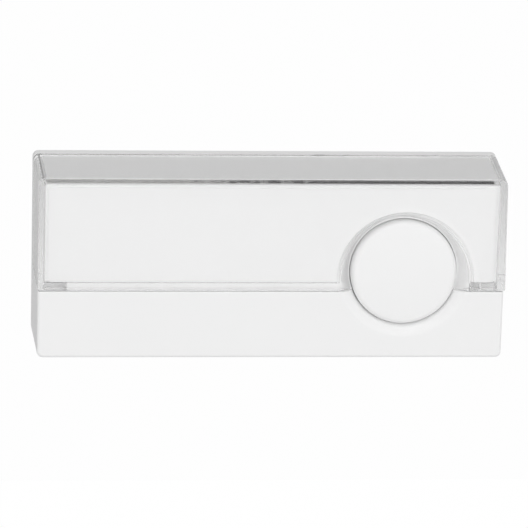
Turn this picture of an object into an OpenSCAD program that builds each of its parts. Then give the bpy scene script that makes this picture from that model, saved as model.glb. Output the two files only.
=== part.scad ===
// Wall-mounted bell push: a white housing on a base plate, a clear cover over a name card,
// and a round button that closes a pair of contacts. The wall is the plane y = 0 and the
// front faces -Y. Pieces are drawn lying on the wall, with x to the right, y up and z out
// of the wall, and are then stood up.

/* [Body] */
// Width of the front face
front_w = 80; // [76:0.5:90]
// Height of the front face
front_h = 31.5; // [30.5:0.5:36]
// Depth from the wall to the front face
body_d = 18.5; // [17.5:0.5:22]
// Growth of the outline on each side, from the front face to the wall
draft = 0.5; // [0.2:0.1:0.8]
// Radius of the four corners of the outline
corner_r = 1; // [0.6:0.1:1.6]

/* [Base plate] */
// Thickness of the base plate
plate_t = 2.2; // [2:0.1:2.8]
// Distance from an end of the plate to the axis of its wall screw
screw_inset = 7.5; // [7:0.5:10]
// Radius of the wall screw holes
screw_hole_r = 2.1; // [1.7:0.1:2.5]
// Height of the rails that carry the contact strips
rail_h = 2.05; // [1.8:0.05:2.4]
// Margin of a rail beside its contact strip
rail_margin = 0.5; // [0.3:0.1:0.8]
// Wall of the tube that guides the plunger pin
guide_wall = 1.05; // [0.8:0.05:1.2]
// Depth of the two pockets in the back of the plate
pocket_depth = 0.7; // [0.4:0.1:0.9]
// Width of the pockets
pocket_w = 52; // [40:1:54]
// Height of each pocket
pocket_h = 6; // [4:0.5:7]
// Solid margin between a pocket and the long edge of the plate
pocket_margin = 2.8; // [2:0.2:4]
// Thickness of the ribs that locate the housing
rib_t = 1.2; // [0.8:0.1:1.6]
// Height of these ribs above the plate
rib_h = 3; // [2:0.5:4]
// Length of these ribs
rib_l = 50; // [30:1:56]

/* [Latches] */
// Width of the latch posts at the two ends of the plate
latch_w = 6; // [4:0.5:7]
// Thickness of a latch post
latch_t = 1.4; // [1:0.1:1.8]
// Height of a latch post above the plate
latch_h = 6; // [4:0.5:7]
// Reach of the hook at the top of a post
hook_reach = 0.5; // [0.3:0.1:0.6]
// Height of the hook
hook_h = 1; // [0.8:0.1:1.4]
// Distance from the bottom edge of the front to the middle of a latch
latch_rise = 6.75; // [6:0.25:8]

/* [Housing] */
// Wall of the lower block
shell = 1.6; // [1.3:0.1:2]
// Wall of the card carrier above it
carrier_wall = 1.2; // [1:0.1:1.5]
// Wall of the tube that guides the button
tube_wall = 1.6; // [1.3:0.1:1.8]
// Width of the notch for prying the housing off
pry_w = 8; // [5:0.5:12]
// Height of this notch along the wall of the housing
pry_h = 1; // [0.6:0.1:1.4]
// Depth of the recess in the card carrier behind the cover's arch
recess_d = 0.5; // [0.2:0.05:0.8]
// How far this recess stays inside the edge of the arch
recess_rim = 0.2; // [0.1:0.05:0.6]
// Depth of the groove in the card carrier behind the cover's lip
groove_d = 0.35; // [0.2:0.05:0.6]
// Width of the step along the right end of the card carrier
step_w = 0.55; // [0.2:0.05:0.6]
// Depth of this step
step_d = 0.5; // [0.2:0.05:0.8]

/* [Name cover] */
// Height of the cover, down from the top edge of the front
cover_h = 19.6; // [18.5:0.1:20.5]
// Thickness of its top and side walls
cover_wall = 1; // [0.9:0.05:1.3]
// Thickness of its front window
window_t = 1.4; // [1.2:0.1:1.8]
// Height of the lip along its lower edge
lip_h = 1.1; // [0.8:0.1:1.4]
// How far the right end of the cover flares out at its lower edge
flare = 0.3; // [0:0.05:0.4]
// Radius of the arch round the button at the front face
arch_r = 11.6; // [11.2:0.1:12]
// How far the middle of this arch lies to the right of the button's axis
arch_shift = 0.3; // [0:0.05:0.4]
// How far it lies below that axis
arch_drop = 1.3; // [0.8:0.1:1.5]
// Width of the left tongue
left_tongue_w = 3.4; // [2.5:0.05:5]
// Width of the right tongue
right_tongue_w = 3.8; // [3:0.05:3.85]
// Distance from a tongue to the side wall of the cover
tongue_inset = 0.4; // [0.3:0.05:0.5]
// Length of the tongues behind the face of the card carrier
tongue_l = 1.5; // [1:0.25:3]
// Depth of a tongue's notch past the end of the tongue
tongue_room = 1.2; // [0.4:0.1:2]
// Distance from the inner edge of the right tongue to its slit
slit_inset = 1; // [0.8:0.1:2]
// Width of this slit
slit_w = 0.4; // [0.3:0.05:0.6]

/* [Name card] */
// Thickness of the card
card_t = 0.25; // [0.15:0.05:0.4]
// Margin between the card and the lip or the low wall round the arch
card_margin = 0.15; // [0.1:0.05:0.4]
// Margin of the carrier that is left free above and beside the card
card_border = 0.6; // [0.2:0.05:1]
// Radius of the corners of the card
card_r = 0.8; // [0.4:0.1:2]

/* [Button] */
// Radius of the button
button_r = 9.1; // [8.5:0.1:9.4]
// Distance from the right edge of the front to the axis of the button
button_inset = 17.3; // [17:0.1:19]
// Height of this axis above the middle of the front
button_rise = -0.7; // [-1.2:0.1:0.2]
// Radius of the dish in the lower block around the button at the front face
dish_r = 11.4; // [10.8:0.1:11.6]
// How far the crown of the button lies behind the front face
button_sink = 0.1; // [0:0.05:0.5]
// Rise of the crown
button_dome = 0.25; // [0.1:0.05:0.6]
// Radius of the edge round the crown
button_edge = 1; // [0.6:0.1:2]
// Wall of the button
button_wall = 1.3; // [1:0.1:1.6]
// Thickness of its front
button_face_t = 1.6; // [1.2:0.1:2]
// Length of the button from its crown to its flange's back
button_l = 8.6; // [8:0.1:9]
// Reach of the flange that keeps the button in
flange_w = 1; // [0.7:0.1:1.2]
// Thickness of this flange
flange_t = 1.2; // [0.8:0.1:1.6]
// Travel of the button
button_travel = 1.6; // [1.2:0.1:1.8]

/* [Plunger] */
// Radius of the pin that runs in the base plate
pin_r = 1.5; // [1.2:0.1:1.6]
// Length of this pin inside its guide at rest
pin_engage = 1.4; // [1:0.1:1.6]
// Radius of the stem that carries the contact bridge
stem_r = 2; // [1.8:0.1:2.2]
// Length of the stem behind the clip
stem_tail = 0.6; // [0.4:0.1:0.8]
// Radius of the neck above the bridge
neck_r = 2.6; // [2.4:0.1:3]
// Radius of the shoulder that meets the button
shoulder_r = 4; // [3.8:0.1:5]
// Thickness of this shoulder
shoulder_t = 1.2; // [0.8:0.1:1.6]
// Length of the socket in the button
socket_l = 3.8; // [3:0.1:4.2]
// Wall of this socket
socket_wall = 1.2; // [0.8:0.1:1.6]

/* [Contacts] */
// Distance of each contact from the axis of the button
contact_offset = 6.5; // [6.2:0.1:7]
// Width of the contact strips
strip_w = 4.4; // [4:0.1:4.8]
// Thickness of the contact strips
strip_t = 0.5; // [0.4:0.05:0.7]
// Length of a strip past the middle of a hole at its end
strip_end = 2.8; // [2.4:0.1:3.4]
// Distance from the axis of the button to the terminal screws
terminal_reach = 19.7; // [18:0.1:21]
// Distance from the axis of the button to the rivets
rivet_reach = 9; // [7:0.5:11]
// Width of the contact bridge
bridge_w = 5; // [4.6:0.1:6]
// Thickness of the contact bridge
bridge_t = 0.4; // [0.3:0.05:0.6]
// Radius of the contact tips
tip_r = 1.2; // [0.9:0.1:1.5]
// Height of a contact tip
tip_h = 0.5; // [0.4:0.05:0.7]
// Radius of the shank that rivets a tip on
tip_shank_r = 0.6; // [0.4:0.05:0.8]
// Radius of the clip under the bridge
clip_r = 3.7; // [3.5:0.1:4]
// Thickness of this clip
clip_t = 0.5; // [0.4:0.05:0.7]
// Width of the cuts in the clip
clip_cut_w = 0.5; // [0.3:0.1:0.8]

/* [Fasteners] */
// Radius of the shank of a terminal screw
screw_r = 1.5; // [1.2:0.1:1.6]
// Radius of its head
screw_head_r = 2.75; // [2.4:0.05:3]
// Height of its head
screw_head_h = 2; // [1.6:0.1:2.4]
// Width of the slot in the head
slot_w = 0.8; // [0.6:0.1:1]
// Depth of the slot
slot_depth = 1; // [0.6:0.1:1.2]
// Side of the square wire clamp
clamp_w = 6.2; // [5.8:0.1:6.6]
// Thickness of the wire clamp
clamp_t = 1; // [0.8:0.1:1.4]
// Radius of the wire groove in the clamp
groove_r = 0.6; // [0.4:0.05:0.7]
// Radius of the shank of a strip rivet
rivet_r = 1; // [0.8:0.1:1.3]
// Radius of its head
rivet_head_r = 1.7; // [1.5:0.1:2]
// Height of its head
rivet_head_h = 0.6; // [0.4:0.1:0.8]
// Thickness of plate left under the screws and rivets
fastener_floor = 1.2; // [1:0.1:1.4]

/* [Cable entry] */
// Distance from the terminal screws to the axis of the entry
entry_reach = 17; // [14:0.5:20]
// Radius of the hole in the base plate
entry_r = 4; // [3.5:0.1:4.5]
// Radius of the bore through the grommet
cable_r = 2.5; // [2:0.1:2.8]
// Radius of the grommet's flange
grommet_flange_r = 5.2; // [5:0.1:6]
// Thickness of this flange
grommet_flange_t = 1; // [0.6:0.1:1.4]

/* [Rain seal] */
// Width of the strip along the top of the base plate, behind the cover's wall
seal_w = 0.64; // [0.5:0.02:0.7]
// Thickness of this strip
seal_t = 0.2; // [0.15:0.05:0.4]
// How far it stands out of its groove
seal_rise = 0.05; // [0.02:0.01:0.08]
// Distance from an end of the strip to the side of the plate
seal_inset = 0.9; // [0.8:0.1:4]

/* [Return spring] */
// Diameter of the wire
wire_d = 0.5; // [0.4:0.05:0.55]
// Number of turns
spring_turns = 4; // [3:1:4]

/* [Clearances] */
// Between the cover's walls and the card carrier
cover_gap = 0.15; // [0.1:0.05:0.5]
// Between the button's hole and the rear of the cover's arch
arch_gap = 0.35; // [0.25:0.05:0.5]
// Between the cover's rear edge and the base plate
cover_seat = 0.1; // [0.05:0.05:0.3]
// Between the cover's lower edge and the lower block
seam = 0.15; // [0.1:0.05:0.3]
// Between the cover's lip and the face of the card carrier
lip_gap = 0.1; // [0.05:0.05:0.2]
// Between the card and the window
card_play = 0.1; // [0.05:0.05:0.3]
// Round a tongue in its notch
tongue_gap = 0.15; // [0.1:0.05:0.3]
// Between the latches or ribs and the housing
latch_gap = 0.15; // [0.1:0.05:0.3]
// Round the button in its tube
button_gap = 0.15; // [0.1:0.05:0.25]
// Between the button's flange and the tube at rest
flange_gap = 0.1; // [0.05:0.05:0.2]
// Between the contact tips at full travel
touch_gap = 0.05; // [0.03:0.01:0.1]
// Between the stem and its guide at full travel
stop_gap = 0.1; // [0.06:0.01:0.2]
// Round the plunger pin in its guide
pin_gap = 0.05; // [0.03:0.01:0.1]
// Round the other shanks in their holes
hole_gap = 0.05; // [0.03:0.01:0.1]
// At each end of the return spring, and round the guide inside it
spring_gap = 0.3; // [0.2:0.05:0.4]

/* [Hidden] */
$fn = 96;

// Overrun of a cut past the face it opens, and overlap of shapes that fuse
cut = 0.2;
// Thickness of the sheets that a drafted block is stretched between
sheet = 0.01;
// Sides of a rounded corner's full circle in a drafted block
corner_sides = 32;
// Least radius of a corner inside a drafted block
inner_corner_r = 0.3;
// Turn of the slots in the terminal screws, in degrees
slot_turn = 20;
// Size of a block that reaches past the whole bell push
span = 2 * (front_w + front_h);

// Levels at the front
window_z = body_d - window_t;
carrier_z = window_z - card_play - card_t;
lip_z = carrier_z + lip_gap;

// Heights on the front
cover_low = front_h / 2 - cover_h;
ledge = cover_low - seam;
lip_top = cover_low + lip_h;
latch_y = latch_rise - front_h / 2;

// Outer ends of the tongues
tongue_x = front_w / 2 - cover_wall - tongue_inset;

// Insets from the outline
carrier_inset = cover_wall + cover_gap;
cavity_inset = carrier_inset + carrier_wall;

// Rain seal, behind the middle of the cover's top wall
seal_y = front_h / 2 + grow(plate_t) - cover_wall / 2;
seal_x = front_w / 2 + grow(plate_t) - seal_inset;

// Places of the axes
button_x = front_w / 2 - button_inset;
terminal_x = button_x - terminal_reach;
rivet_x = button_x - rivet_reach;
entry_x = terminal_x - entry_reach;
screw_x = front_w / 2 + draft - screw_inset;

// Levels of the contacts, from the plate outwards
rail_top = plate_t + rail_h;
strip_top = rail_top + strip_t;
bridge_tip_z = strip_top + tip_h + button_travel + touch_gap;
bridge_z = bridge_tip_z + tip_h;
bridge_top = bridge_z + bridge_t;
clip_z = bridge_z - clip_t;
stem_end = clip_z - stem_tail;
guide_top = stem_end - button_travel - stop_gap;
pin_end = guide_top - pin_engage;
bore_floor = pin_end - button_travel - stop_gap;

// Button
hole_r = button_r + button_gap;
tube_r = hole_r + tube_wall;
button_top = body_d - button_sink;
crown_edge_z = button_top - button_dome;
crown_r = button_r - button_edge;
dome_r = (crown_r * crown_r + button_dome * button_dome) / (2 * button_dome);
flange_z = button_top - button_l;
tube_z = flange_z + flange_t + flange_gap;
socket_top = crown_edge_z - button_face_t;
socket_z = socket_top - socket_l;

// Rounding of the dish, which meets the front face at a slight angle
dish_lead = 0.2;
dish_round = dish_r + dish_lead - hole_r;
dish_z = body_d - sqrt(dish_round * dish_round - dish_lead * dish_lead);

// Return spring, round the guide
guide_r = pin_r + pin_gap + guide_wall;
wire_r = wire_d / 2;
coil_r = guide_r + spring_gap + wire_r;
spring_low = plate_t + spring_gap + wire_r;
spring_high = clip_z - spring_gap - wire_r;

function grow(z) = draft * (1 - z / body_d);

function arc(centre, r, from, to, steps) = [
    for (i = [0 : steps])
        let (a = from + (to - from) * i / steps)
        centre + r * [cos(a), sin(a)]
];

// Shapes that several pieces share

module stand() {
    rotate([90, 0, 0]) children();
}

module rounded_rect(w, h, r) {
    square([w - 2 * r, h], center = true);
    square([w, h - 2 * r], center = true);
    for (sx = [-1, 1], sy = [-1, 1])
        translate([sx * (w / 2 - r), sy * (h / 2 - r)])
            circle(r);
}

module outline_sheet(z, inset) {
    wider = 2 * (grow(z) - inset);
    r = max(corner_r - inset, inner_corner_r);
    translate([0, 0, z])
        linear_extrude(sheet)
            rounded_rect(front_w + wider, front_h + wider, r, $fn = corner_sides);
}

// The body's outline between two levels, drawn in by an inset
module drafted(low, high, inset = 0) {
    hull() {
        outline_sheet(low, inset);
        outline_sheet(high - sheet, inset);
    }
}

// All that lies between two heights on the front
module band(low, high) {
    translate([-span / 2, low, -cut])
        cube([span, high - low, body_d + 2 * cut]);
}

module below(height) {
    band(-span, height);
}

module above(height) {
    band(height, span);
}

module at_button() {
    translate([button_x, button_rise, 0]) children();
}

// Draws its children on the line from the button's axis (0) to the middle of the arch (1)
module at_arch(share = 1) {
    translate([button_x + share * arch_shift, button_rise - share * arch_drop, 0]) children();
}

// Draws its children at the contact that lies above (1) or below (-1) the button's axis
module at_contact(side, x = button_x) {
    translate([x, button_rise + side * contact_offset, 0]) children();
}

module disc(r, low, high) {
    translate([0, 0, low]) cylinder(r = r, h = high - low);
}

module box(x, y, z) {
    translate([x[0], y[0], z[0]]) cube([x[1] - x[0], y[1] - y[0], z[1] - z[0]]);
}

// A strip along x with square ends, from its lowest to its highest x
module bar(x, width, low, high) {
    box(x, [-width / 2, width / 2], [low, high]);
}

// Base plate

module rail(side) {
    translate([0, button_rise + side * contact_offset, 0])
        bar(
            [terminal_x - strip_end - rail_margin, button_x + strip_end + rail_margin],
            strip_w + 2 * rail_margin, 0, rail_top
        );
}

module latch_post() {
    top = plate_t + latch_h;
    face = front_w / 2 + grow(top) - shell - latch_gap;
    y = [latch_y - latch_w / 2, latch_y + latch_w / 2];
    box([face - latch_t, face], y, [0, top]);
    box([face - latch_t, face + hook_reach], y, [top - hook_h, top]);
}

module latch_recess() {
    top = plate_t + latch_h;
    face = front_w / 2 + grow(top) - shell - latch_gap;
    y = [latch_y - latch_w / 2 - latch_gap, latch_y + latch_w / 2 + latch_gap];
    box([face - latch_t, face + hook_reach + latch_gap], y, [top - hook_h - latch_gap, top + latch_gap]);
}

module locating_ribs() {
    top = plate_t + rib_h;
    upper = front_h / 2 + grow(top) - cavity_inset - latch_gap;
    lower = front_h / 2 + grow(top) - shell - latch_gap;
    box([-rib_l / 2, rib_l / 2], [upper - rib_t, upper], [0, top]);
    box([-rib_l / 2, rib_l / 2], [-lower, rib_t - lower], [0, top]);
}

module back_pockets() {
    edge = front_h / 2 + draft - pocket_margin;
    for (side = [-1, 1])
        translate([0, side * (edge - pocket_h / 2), -cut])
            linear_extrude(pocket_depth + cut)
                square([pocket_w, pocket_h], center = true);
}

// A strip where the rain seal lies, grown by a clearance
module seal_strip(low, high, clear = 0) {
    translate([0, seal_y, 0])
        bar([-seal_x - clear, seal_x + clear], seal_w + 2 * clear, low, high);
}

module base_plate() {
    color("white")
        stand()
            difference() {
                union() {
                    drafted(0, plate_t);
                    for (side = [-1, 1]) rail(side);
                    at_button() disc(guide_r, 0, guide_top);
                    for (turn = [0, 1]) mirror([turn, 0, 0]) latch_post();
                    locating_ribs();
                }
                back_pockets();
                seal_strip(plate_t + seal_rise - seal_t, plate_t + cut, hole_gap);
                at_button() disc(pin_r + pin_gap, bore_floor, guide_top + cut);
                for (side = [-1, 1]) {
                    translate([side * screw_x, 0, 0]) disc(screw_hole_r, -cut, plate_t + cut);
                    at_contact(side, terminal_x) disc(screw_r + hole_gap, fastener_floor, rail_top + cut);
                    at_contact(side, rivet_x) disc(rivet_r + hole_gap, fastener_floor, rail_top + cut);
                }
                translate([entry_x, 0, 0]) disc(entry_r, -cut, plate_t + cut);
            }
}

// Housing

module hollow_body() {
    difference() {
        union() {
            intersection() {
                drafted(plate_t, body_d);
                below(ledge);
            }
            drafted(plate_t, carrier_z, carrier_inset);
        }
        drafted(plate_t - cut, carrier_z - carrier_wall, cavity_inset);
        intersection() {
            drafted(plate_t - cut, body_d - shell, shell);
            below(ledge - shell);
        }
    }
}

module button_tube() {
    at_button() disc(tube_r, tube_z, carrier_z);
    intersection() {
        at_button() disc(tube_r, tube_z, body_d - shell / 2);
        below(ledge);
    }
}

// The way through for the button, with the rounded dish at its front
module button_way() {
    at_button()
        rotate_extrude() {
            square([hole_r, body_d + cut]);
            difference() {
                translate([0, dish_z]) square([dish_r, body_d + cut - dish_z]);
                translate([dish_r + dish_lead, dish_z]) circle(dish_round);
            }
        }
}

// The shallow recess in the card carrier behind the cover's arch and lip
module cover_recess() {
    reach = front_w / 2 - cavity_inset;
    intersection() {
        at_arch() disc(arch_r - recess_rim, carrier_z - recess_d, carrier_z + cut);
        above(ledge);
    }
    box([-reach, reach], [ledge, lip_top], [carrier_z - groove_d, carrier_z + cut]);
}

// The low step along the right end of the card carrier
module side_step() {
    box(
        [front_w / 2 - carrier_inset - step_w, front_w],
        [lip_top, front_h],
        [carrier_z - step_d, carrier_z + cut]
    );
}

// Block in the right end of the carrier that a tongue's notch is cut into
module tongue_block(width) {
    box(
        [tongue_x - width - tongue_gap - carrier_wall, front_w / 2 - carrier_inset],
        [ledge - carrier_wall, lip_top + tongue_gap + carrier_wall],
        [carrier_z - tongue_l - tongue_room - carrier_wall, carrier_z]
    );
}

// Notch for a tongue, open to the front and to the side
module tongue_notch(width) {
    box(
        [tongue_x - width - tongue_gap, front_w / 2],
        [ledge, lip_top + tongue_gap],
        [carrier_z - tongue_l - tongue_room, carrier_z + cut]
    );
}

module housing() {
    color("white")
        stand()
            difference() {
                union() {
                    hollow_body();
                    button_tube();
                    tongue_block(right_tongue_w);
                    mirror([1, 0, 0]) tongue_block(left_tongue_w);
                }
                button_way();
                cover_recess();
                side_step();
                tongue_notch(right_tongue_w);
                mirror([1, 0, 0]) tongue_notch(left_tongue_w);
                for (turn = [0, 1]) mirror([turn, 0, 0]) latch_recess();
                box([-pry_w / 2, pry_w / 2], [-span, -front_h / 4], [plate_t - cut, plate_t + pry_h]);
            }
}

// Name cover

module cover_shell() {
    difference() {
        union() {
            intersection() {
                drafted(plate_t + cover_seat, body_d);
                above(cover_low);
            }
            end_flare();
        }
        drafted(plate_t + cover_seat - cut, window_z, cover_wall);
    }
}

// The wedge by which the right end grows towards its lower edge
module end_flare() {
    inner = front_w / 2 - cover_wall / 2;
    high = front_h / 2 - corner_r;
    translate([0, 0, plate_t + cover_seat])
        linear_extrude(body_d - plate_t - cover_seat)
            polygon([[inner, cover_low], [front_w / 2 + flare, cover_low], [front_w / 2, high], [inner, high]]);
}

// The lip along the lower edge and the low wall round the arch, both behind the window
module cover_lip() {
    reach = front_w / 2 - cover_wall + cut;
    box([-reach, reach], [cover_low, lip_top], [lip_z, window_z + cut]);
    intersection() {
        at_arch() disc(arch_r + card_margin, lip_z, window_z + cut);
        above(cover_low);
    }
}

module tongue(width) {
    box([tongue_x - width, tongue_x], [cover_low, lip_top], [carrier_z - tongue_l, window_z + cut]);
}

// The way round the button, a slanting cone that runs on past both faces
module arch_way() {
    throat = hole_r + arch_gap;
    rise = body_d - lip_z;
    run_on = cut / rise;
    hull()
        for (share = [-run_on, 1 + run_on])
            at_arch(share)
                translate([0, 0, lip_z + share * rise])
                    linear_extrude(sheet)
                        circle(throat + share * (arch_r - throat));
}

module name_cover() {
    slit = tongue_x - right_tongue_w + slit_inset;
    color("aliceblue", 0.35)
        stand()
            difference() {
                union() {
                    cover_shell();
                    cover_lip();
                    tongue(right_tongue_w);
                    mirror([1, 0, 0]) tongue(left_tongue_w);
                }
                arch_way();
                box(
                    [slit, slit + slit_w],
                    [cover_low - cut, lip_top + cut],
                    [carrier_z - tongue_l - cut, lip_z]
                );
            }
}

// Name card

module name_card() {
    side = front_w / 2 - carrier_inset - card_border;
    low = lip_top + card_margin;
    high = front_h / 2 - carrier_inset - card_border;
    color("whitesmoke")
        stand()
            translate([0, 0, carrier_z])
                linear_extrude(card_t)
                    difference() {
                        translate([0, (low + high) / 2]) rounded_rect(2 * side, high - low, card_r);
                        at_arch() circle(arch_r + 2 * card_margin);
                    }
}

// Button and plunger

module button_cap() {
    crown = arc([0, button_top - dome_r], dome_r, 90, acos(crown_r / dome_r), 8);
    edge = arc([crown_r, crown_edge_z - button_edge], button_edge, 90, 0, 10);
    color("white")
        stand()
            at_button() {
                difference() {
                    rotate_extrude()
                        polygon(concat(crown, [for (i = [1 : len(edge) - 1]) edge[i]], [
                            [button_r, flange_z + flange_t], [button_r + flange_w, flange_z + flange_t],
                            [button_r + flange_w, flange_z], [0, flange_z]
                        ]));
                    disc(button_r - button_wall, flange_z - cut, socket_top);
                }
                difference() {
                    disc(stem_r + hole_gap + socket_wall, socket_z, socket_top + cut);
                    disc(stem_r + hole_gap, socket_z - cut, socket_top);
                }
            }
}

module plunger() {
    color("gainsboro")
        stand()
            at_button() {
                disc(stem_r, socket_z - cut, socket_top - hole_gap);
                disc(shoulder_r, socket_z - shoulder_t, socket_z);
                disc(neck_r, bridge_top, socket_z - shoulder_t + cut);
                disc(stem_r, stem_end, bridge_top + cut);
                disc(pin_r, pin_end, stem_end + cut);
            }
}

// Contact bridge and what it carries

module contact_bridge() {
    reach = contact_offset + tip_r + rail_margin;
    color("goldenrod")
        stand()
            at_button()
                difference() {
                    box([-bridge_w / 2, bridge_w / 2], [-reach, reach], [bridge_z, bridge_top]);
                    disc(stem_r + hole_gap, bridge_z - cut, bridge_top + cut);
                    for (side = [-1, 1])
                        translate([0, side * contact_offset, 0])
                            disc(tip_shank_r + hole_gap, bridge_z - cut, bridge_top + cut);
                }
}

module bridge_clip() {
    color("silver")
        stand()
            at_button()
                difference() {
                    disc(clip_r, clip_z, bridge_z);
                    disc(stem_r + hole_gap, clip_z - cut, bridge_z + cut);
                    for (turn = [0, 120, 240])
                        rotate(turn)
                            bar([0, (clip_r + stem_r) / 2], clip_cut_w, clip_z - cut, bridge_z + cut);
                }
}

module bridge_tip(side) {
    color("lightgray")
        stand()
            at_contact(side) {
                disc(tip_r, bridge_tip_z, bridge_z);
                disc(tip_shank_r, bridge_z - cut, bridge_top);
            }
}

module bridge_tip_upper() {
    bridge_tip(1);
}

module bridge_tip_lower() {
    bridge_tip(-1);
}

// Return spring, one wire of six sides with eight rings a turn and straight ends

rings_per_turn = 8;
wire_sides = 6;
spring_rings = spring_turns * rings_per_turn;
spring_pitch = (spring_high - spring_low) / spring_turns;

function coil_point(i) = [
    coil_r * cos(360 * i / rings_per_turn),
    coil_r * sin(360 * i / rings_per_turn),
    spring_low + spring_pitch * i / rings_per_turn
];

function coil_along(i) = [-sin(360 * i / rings_per_turn), cos(360 * i / rings_per_turn), 0];

function coil_out(i) = [cos(360 * i / rings_per_turn), sin(360 * i / rings_per_turn), 0];

spring_path = concat(
    [coil_point(0) - wire_d * coil_along(0)],
    [for (i = [0 : spring_rings]) coil_point(i)],
    [coil_point(spring_rings) + wire_d * coil_along(spring_rings)]
);

spring_out = concat(
    [coil_out(0)],
    [for (i = [0 : spring_rings]) coil_out(i)],
    [coil_out(spring_rings)]
);

spring_self_gap = min([
    for (i = [0 : len(spring_path) - 1], j = [0 : len(spring_path) - 1])
        if (j - i >= rings_per_turn / 2)
            norm(spring_path[j] - spring_path[i]) - wire_d
]);

module wire_tube(path, out) {
    rings = len(path);
    points = [
        for (i = [0 : rings - 1], k = [0 : wire_sides - 1])
            let (a = 360 * (k + 0.5) / wire_sides)
            path[i] + wire_r * (cos(a) * out[i] + sin(a) * [0, 0, 1])
    ];
    walls = [
        for (i = [0 : rings - 2], k = [0 : wire_sides - 1])
            let (
                a = i * wire_sides + k,
                b = i * wire_sides + (k + 1) % wire_sides
            )
            each [[a, a + wire_sides, b], [b, a + wire_sides, b + wire_sides]]
    ];
    first = [for (k = [1 : wire_sides - 2]) [0, k, k + 1]];
    base = (rings - 1) * wire_sides;
    last = [for (k = [1 : wire_sides - 2]) [base, base + k + 1, base + k]];
    polyhedron(points, concat(walls, first, last));
}

module return_spring() {
    echo(spring_least_gap = spring_self_gap);
    color("silver")
        stand()
            at_button() wire_tube(spring_path, spring_out);
}

// Contact strips and what holds them

module contact_strip(side) {
    color("goldenrod")
        stand()
            difference() {
                translate([0, button_rise + side * contact_offset, 0])
                    bar([terminal_x - strip_end, button_x + strip_end], strip_w, rail_top, strip_top);
                at_contact(side) disc(tip_shank_r + hole_gap, rail_top - cut, strip_top + cut);
                at_contact(side, rivet_x) disc(rivet_r + hole_gap, rail_top - cut, strip_top + cut);
                at_contact(side, terminal_x) disc(screw_r + hole_gap, rail_top - cut, strip_top + cut);
            }
}

module contact_strip_upper() {
    contact_strip(1);
}

module contact_strip_lower() {
    contact_strip(-1);
}

module contact_tip(side) {
    color("lightgray")
        stand()
            at_contact(side) {
                disc(tip_r, strip_top, strip_top + tip_h);
                disc(tip_shank_r, rail_top, strip_top + cut);
            }
}

module contact_tip_upper() {
    contact_tip(1);
}

module contact_tip_lower() {
    contact_tip(-1);
}

module terminal_screw(side) {
    head_z = strip_top + clamp_t;
    head_top = head_z + screw_head_h;
    color("silver")
        stand()
            at_contact(side, terminal_x)
                difference() {
                    union() {
                        disc(screw_head_r, head_z, head_top);
                        disc(screw_r, fastener_floor + hole_gap, head_z + cut);
                    }
                    rotate(slot_turn * side)
                        bar([-clamp_w, clamp_w], slot_w, head_top - slot_depth, head_top + cut);
                }
}

module terminal_screw_upper() {
    terminal_screw(1);
}

module terminal_screw_lower() {
    terminal_screw(-1);
}

module wire_clamp(side) {
    color("lightgray")
        stand()
            at_contact(side, terminal_x)
                difference() {
                    bar([-clamp_w / 2, clamp_w / 2], clamp_w, strip_top, strip_top + clamp_t);
                    disc(screw_r + hole_gap, strip_top - cut, strip_top + clamp_t + cut);
                    for (way = [-1, 1])
                        translate([way * (screw_r + clamp_w / 2) / 2, 0, strip_top])
                            rotate([90, 0, 0])
                                cylinder(r = groove_r, h = clamp_w + 2 * cut, center = true);
                }
}

module wire_clamp_upper() {
    wire_clamp(1);
}

module wire_clamp_lower() {
    wire_clamp(-1);
}

module strip_rivets() {
    color("darkgoldenrod")
        stand()
            for (side = [-1, 1])
                at_contact(side, rivet_x) {
                    disc(rivet_head_r, strip_top, strip_top + rivet_head_h);
                    disc(rivet_r, fastener_floor + hole_gap, strip_top + cut);
                }
}

// Cable grommet

module cable_grommet() {
    color("dimgray")
        stand()
            translate([entry_x, 0, 0])
                difference() {
                    union() {
                        disc(grommet_flange_r, plate_t, plate_t + grommet_flange_t);
                        disc(entry_r - hole_gap, hole_gap, plate_t + cut);
                    }
                    disc(cable_r, -cut, plate_t + grommet_flange_t + cut);
                }
}

// Rain seal

module rain_seal() {
    color("dimgray")
        stand()
            seal_strip(plate_t + seal_rise - seal_t, plate_t + seal_rise);
}

base_plate();
housing();
name_cover();
name_card();
button_cap();
plunger();
contact_bridge();
bridge_clip();
bridge_tip_upper();
bridge_tip_lower();
return_spring();
contact_strip_upper();
contact_strip_lower();
contact_tip_upper();
contact_tip_lower();
terminal_screw_upper();
terminal_screw_lower();
wire_clamp_upper();
wire_clamp_lower();
strip_rivets();
cable_grommet();
rain_seal();
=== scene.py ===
"""Looks of a wall-mounted bell push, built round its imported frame.

Shapes are drawn in millimetres, lying on the wall: x to the right, y up and z out of the wall.
They are stood up and scaled to metres when they become objects.
"""

import logging
import math
from collections.abc import Callable, Iterable, Sequence
from dataclasses import dataclass
from enum import Enum, IntEnum
from typing import ClassVar

import bmesh
import bpy
from mathutils import Matrix, Vector


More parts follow.
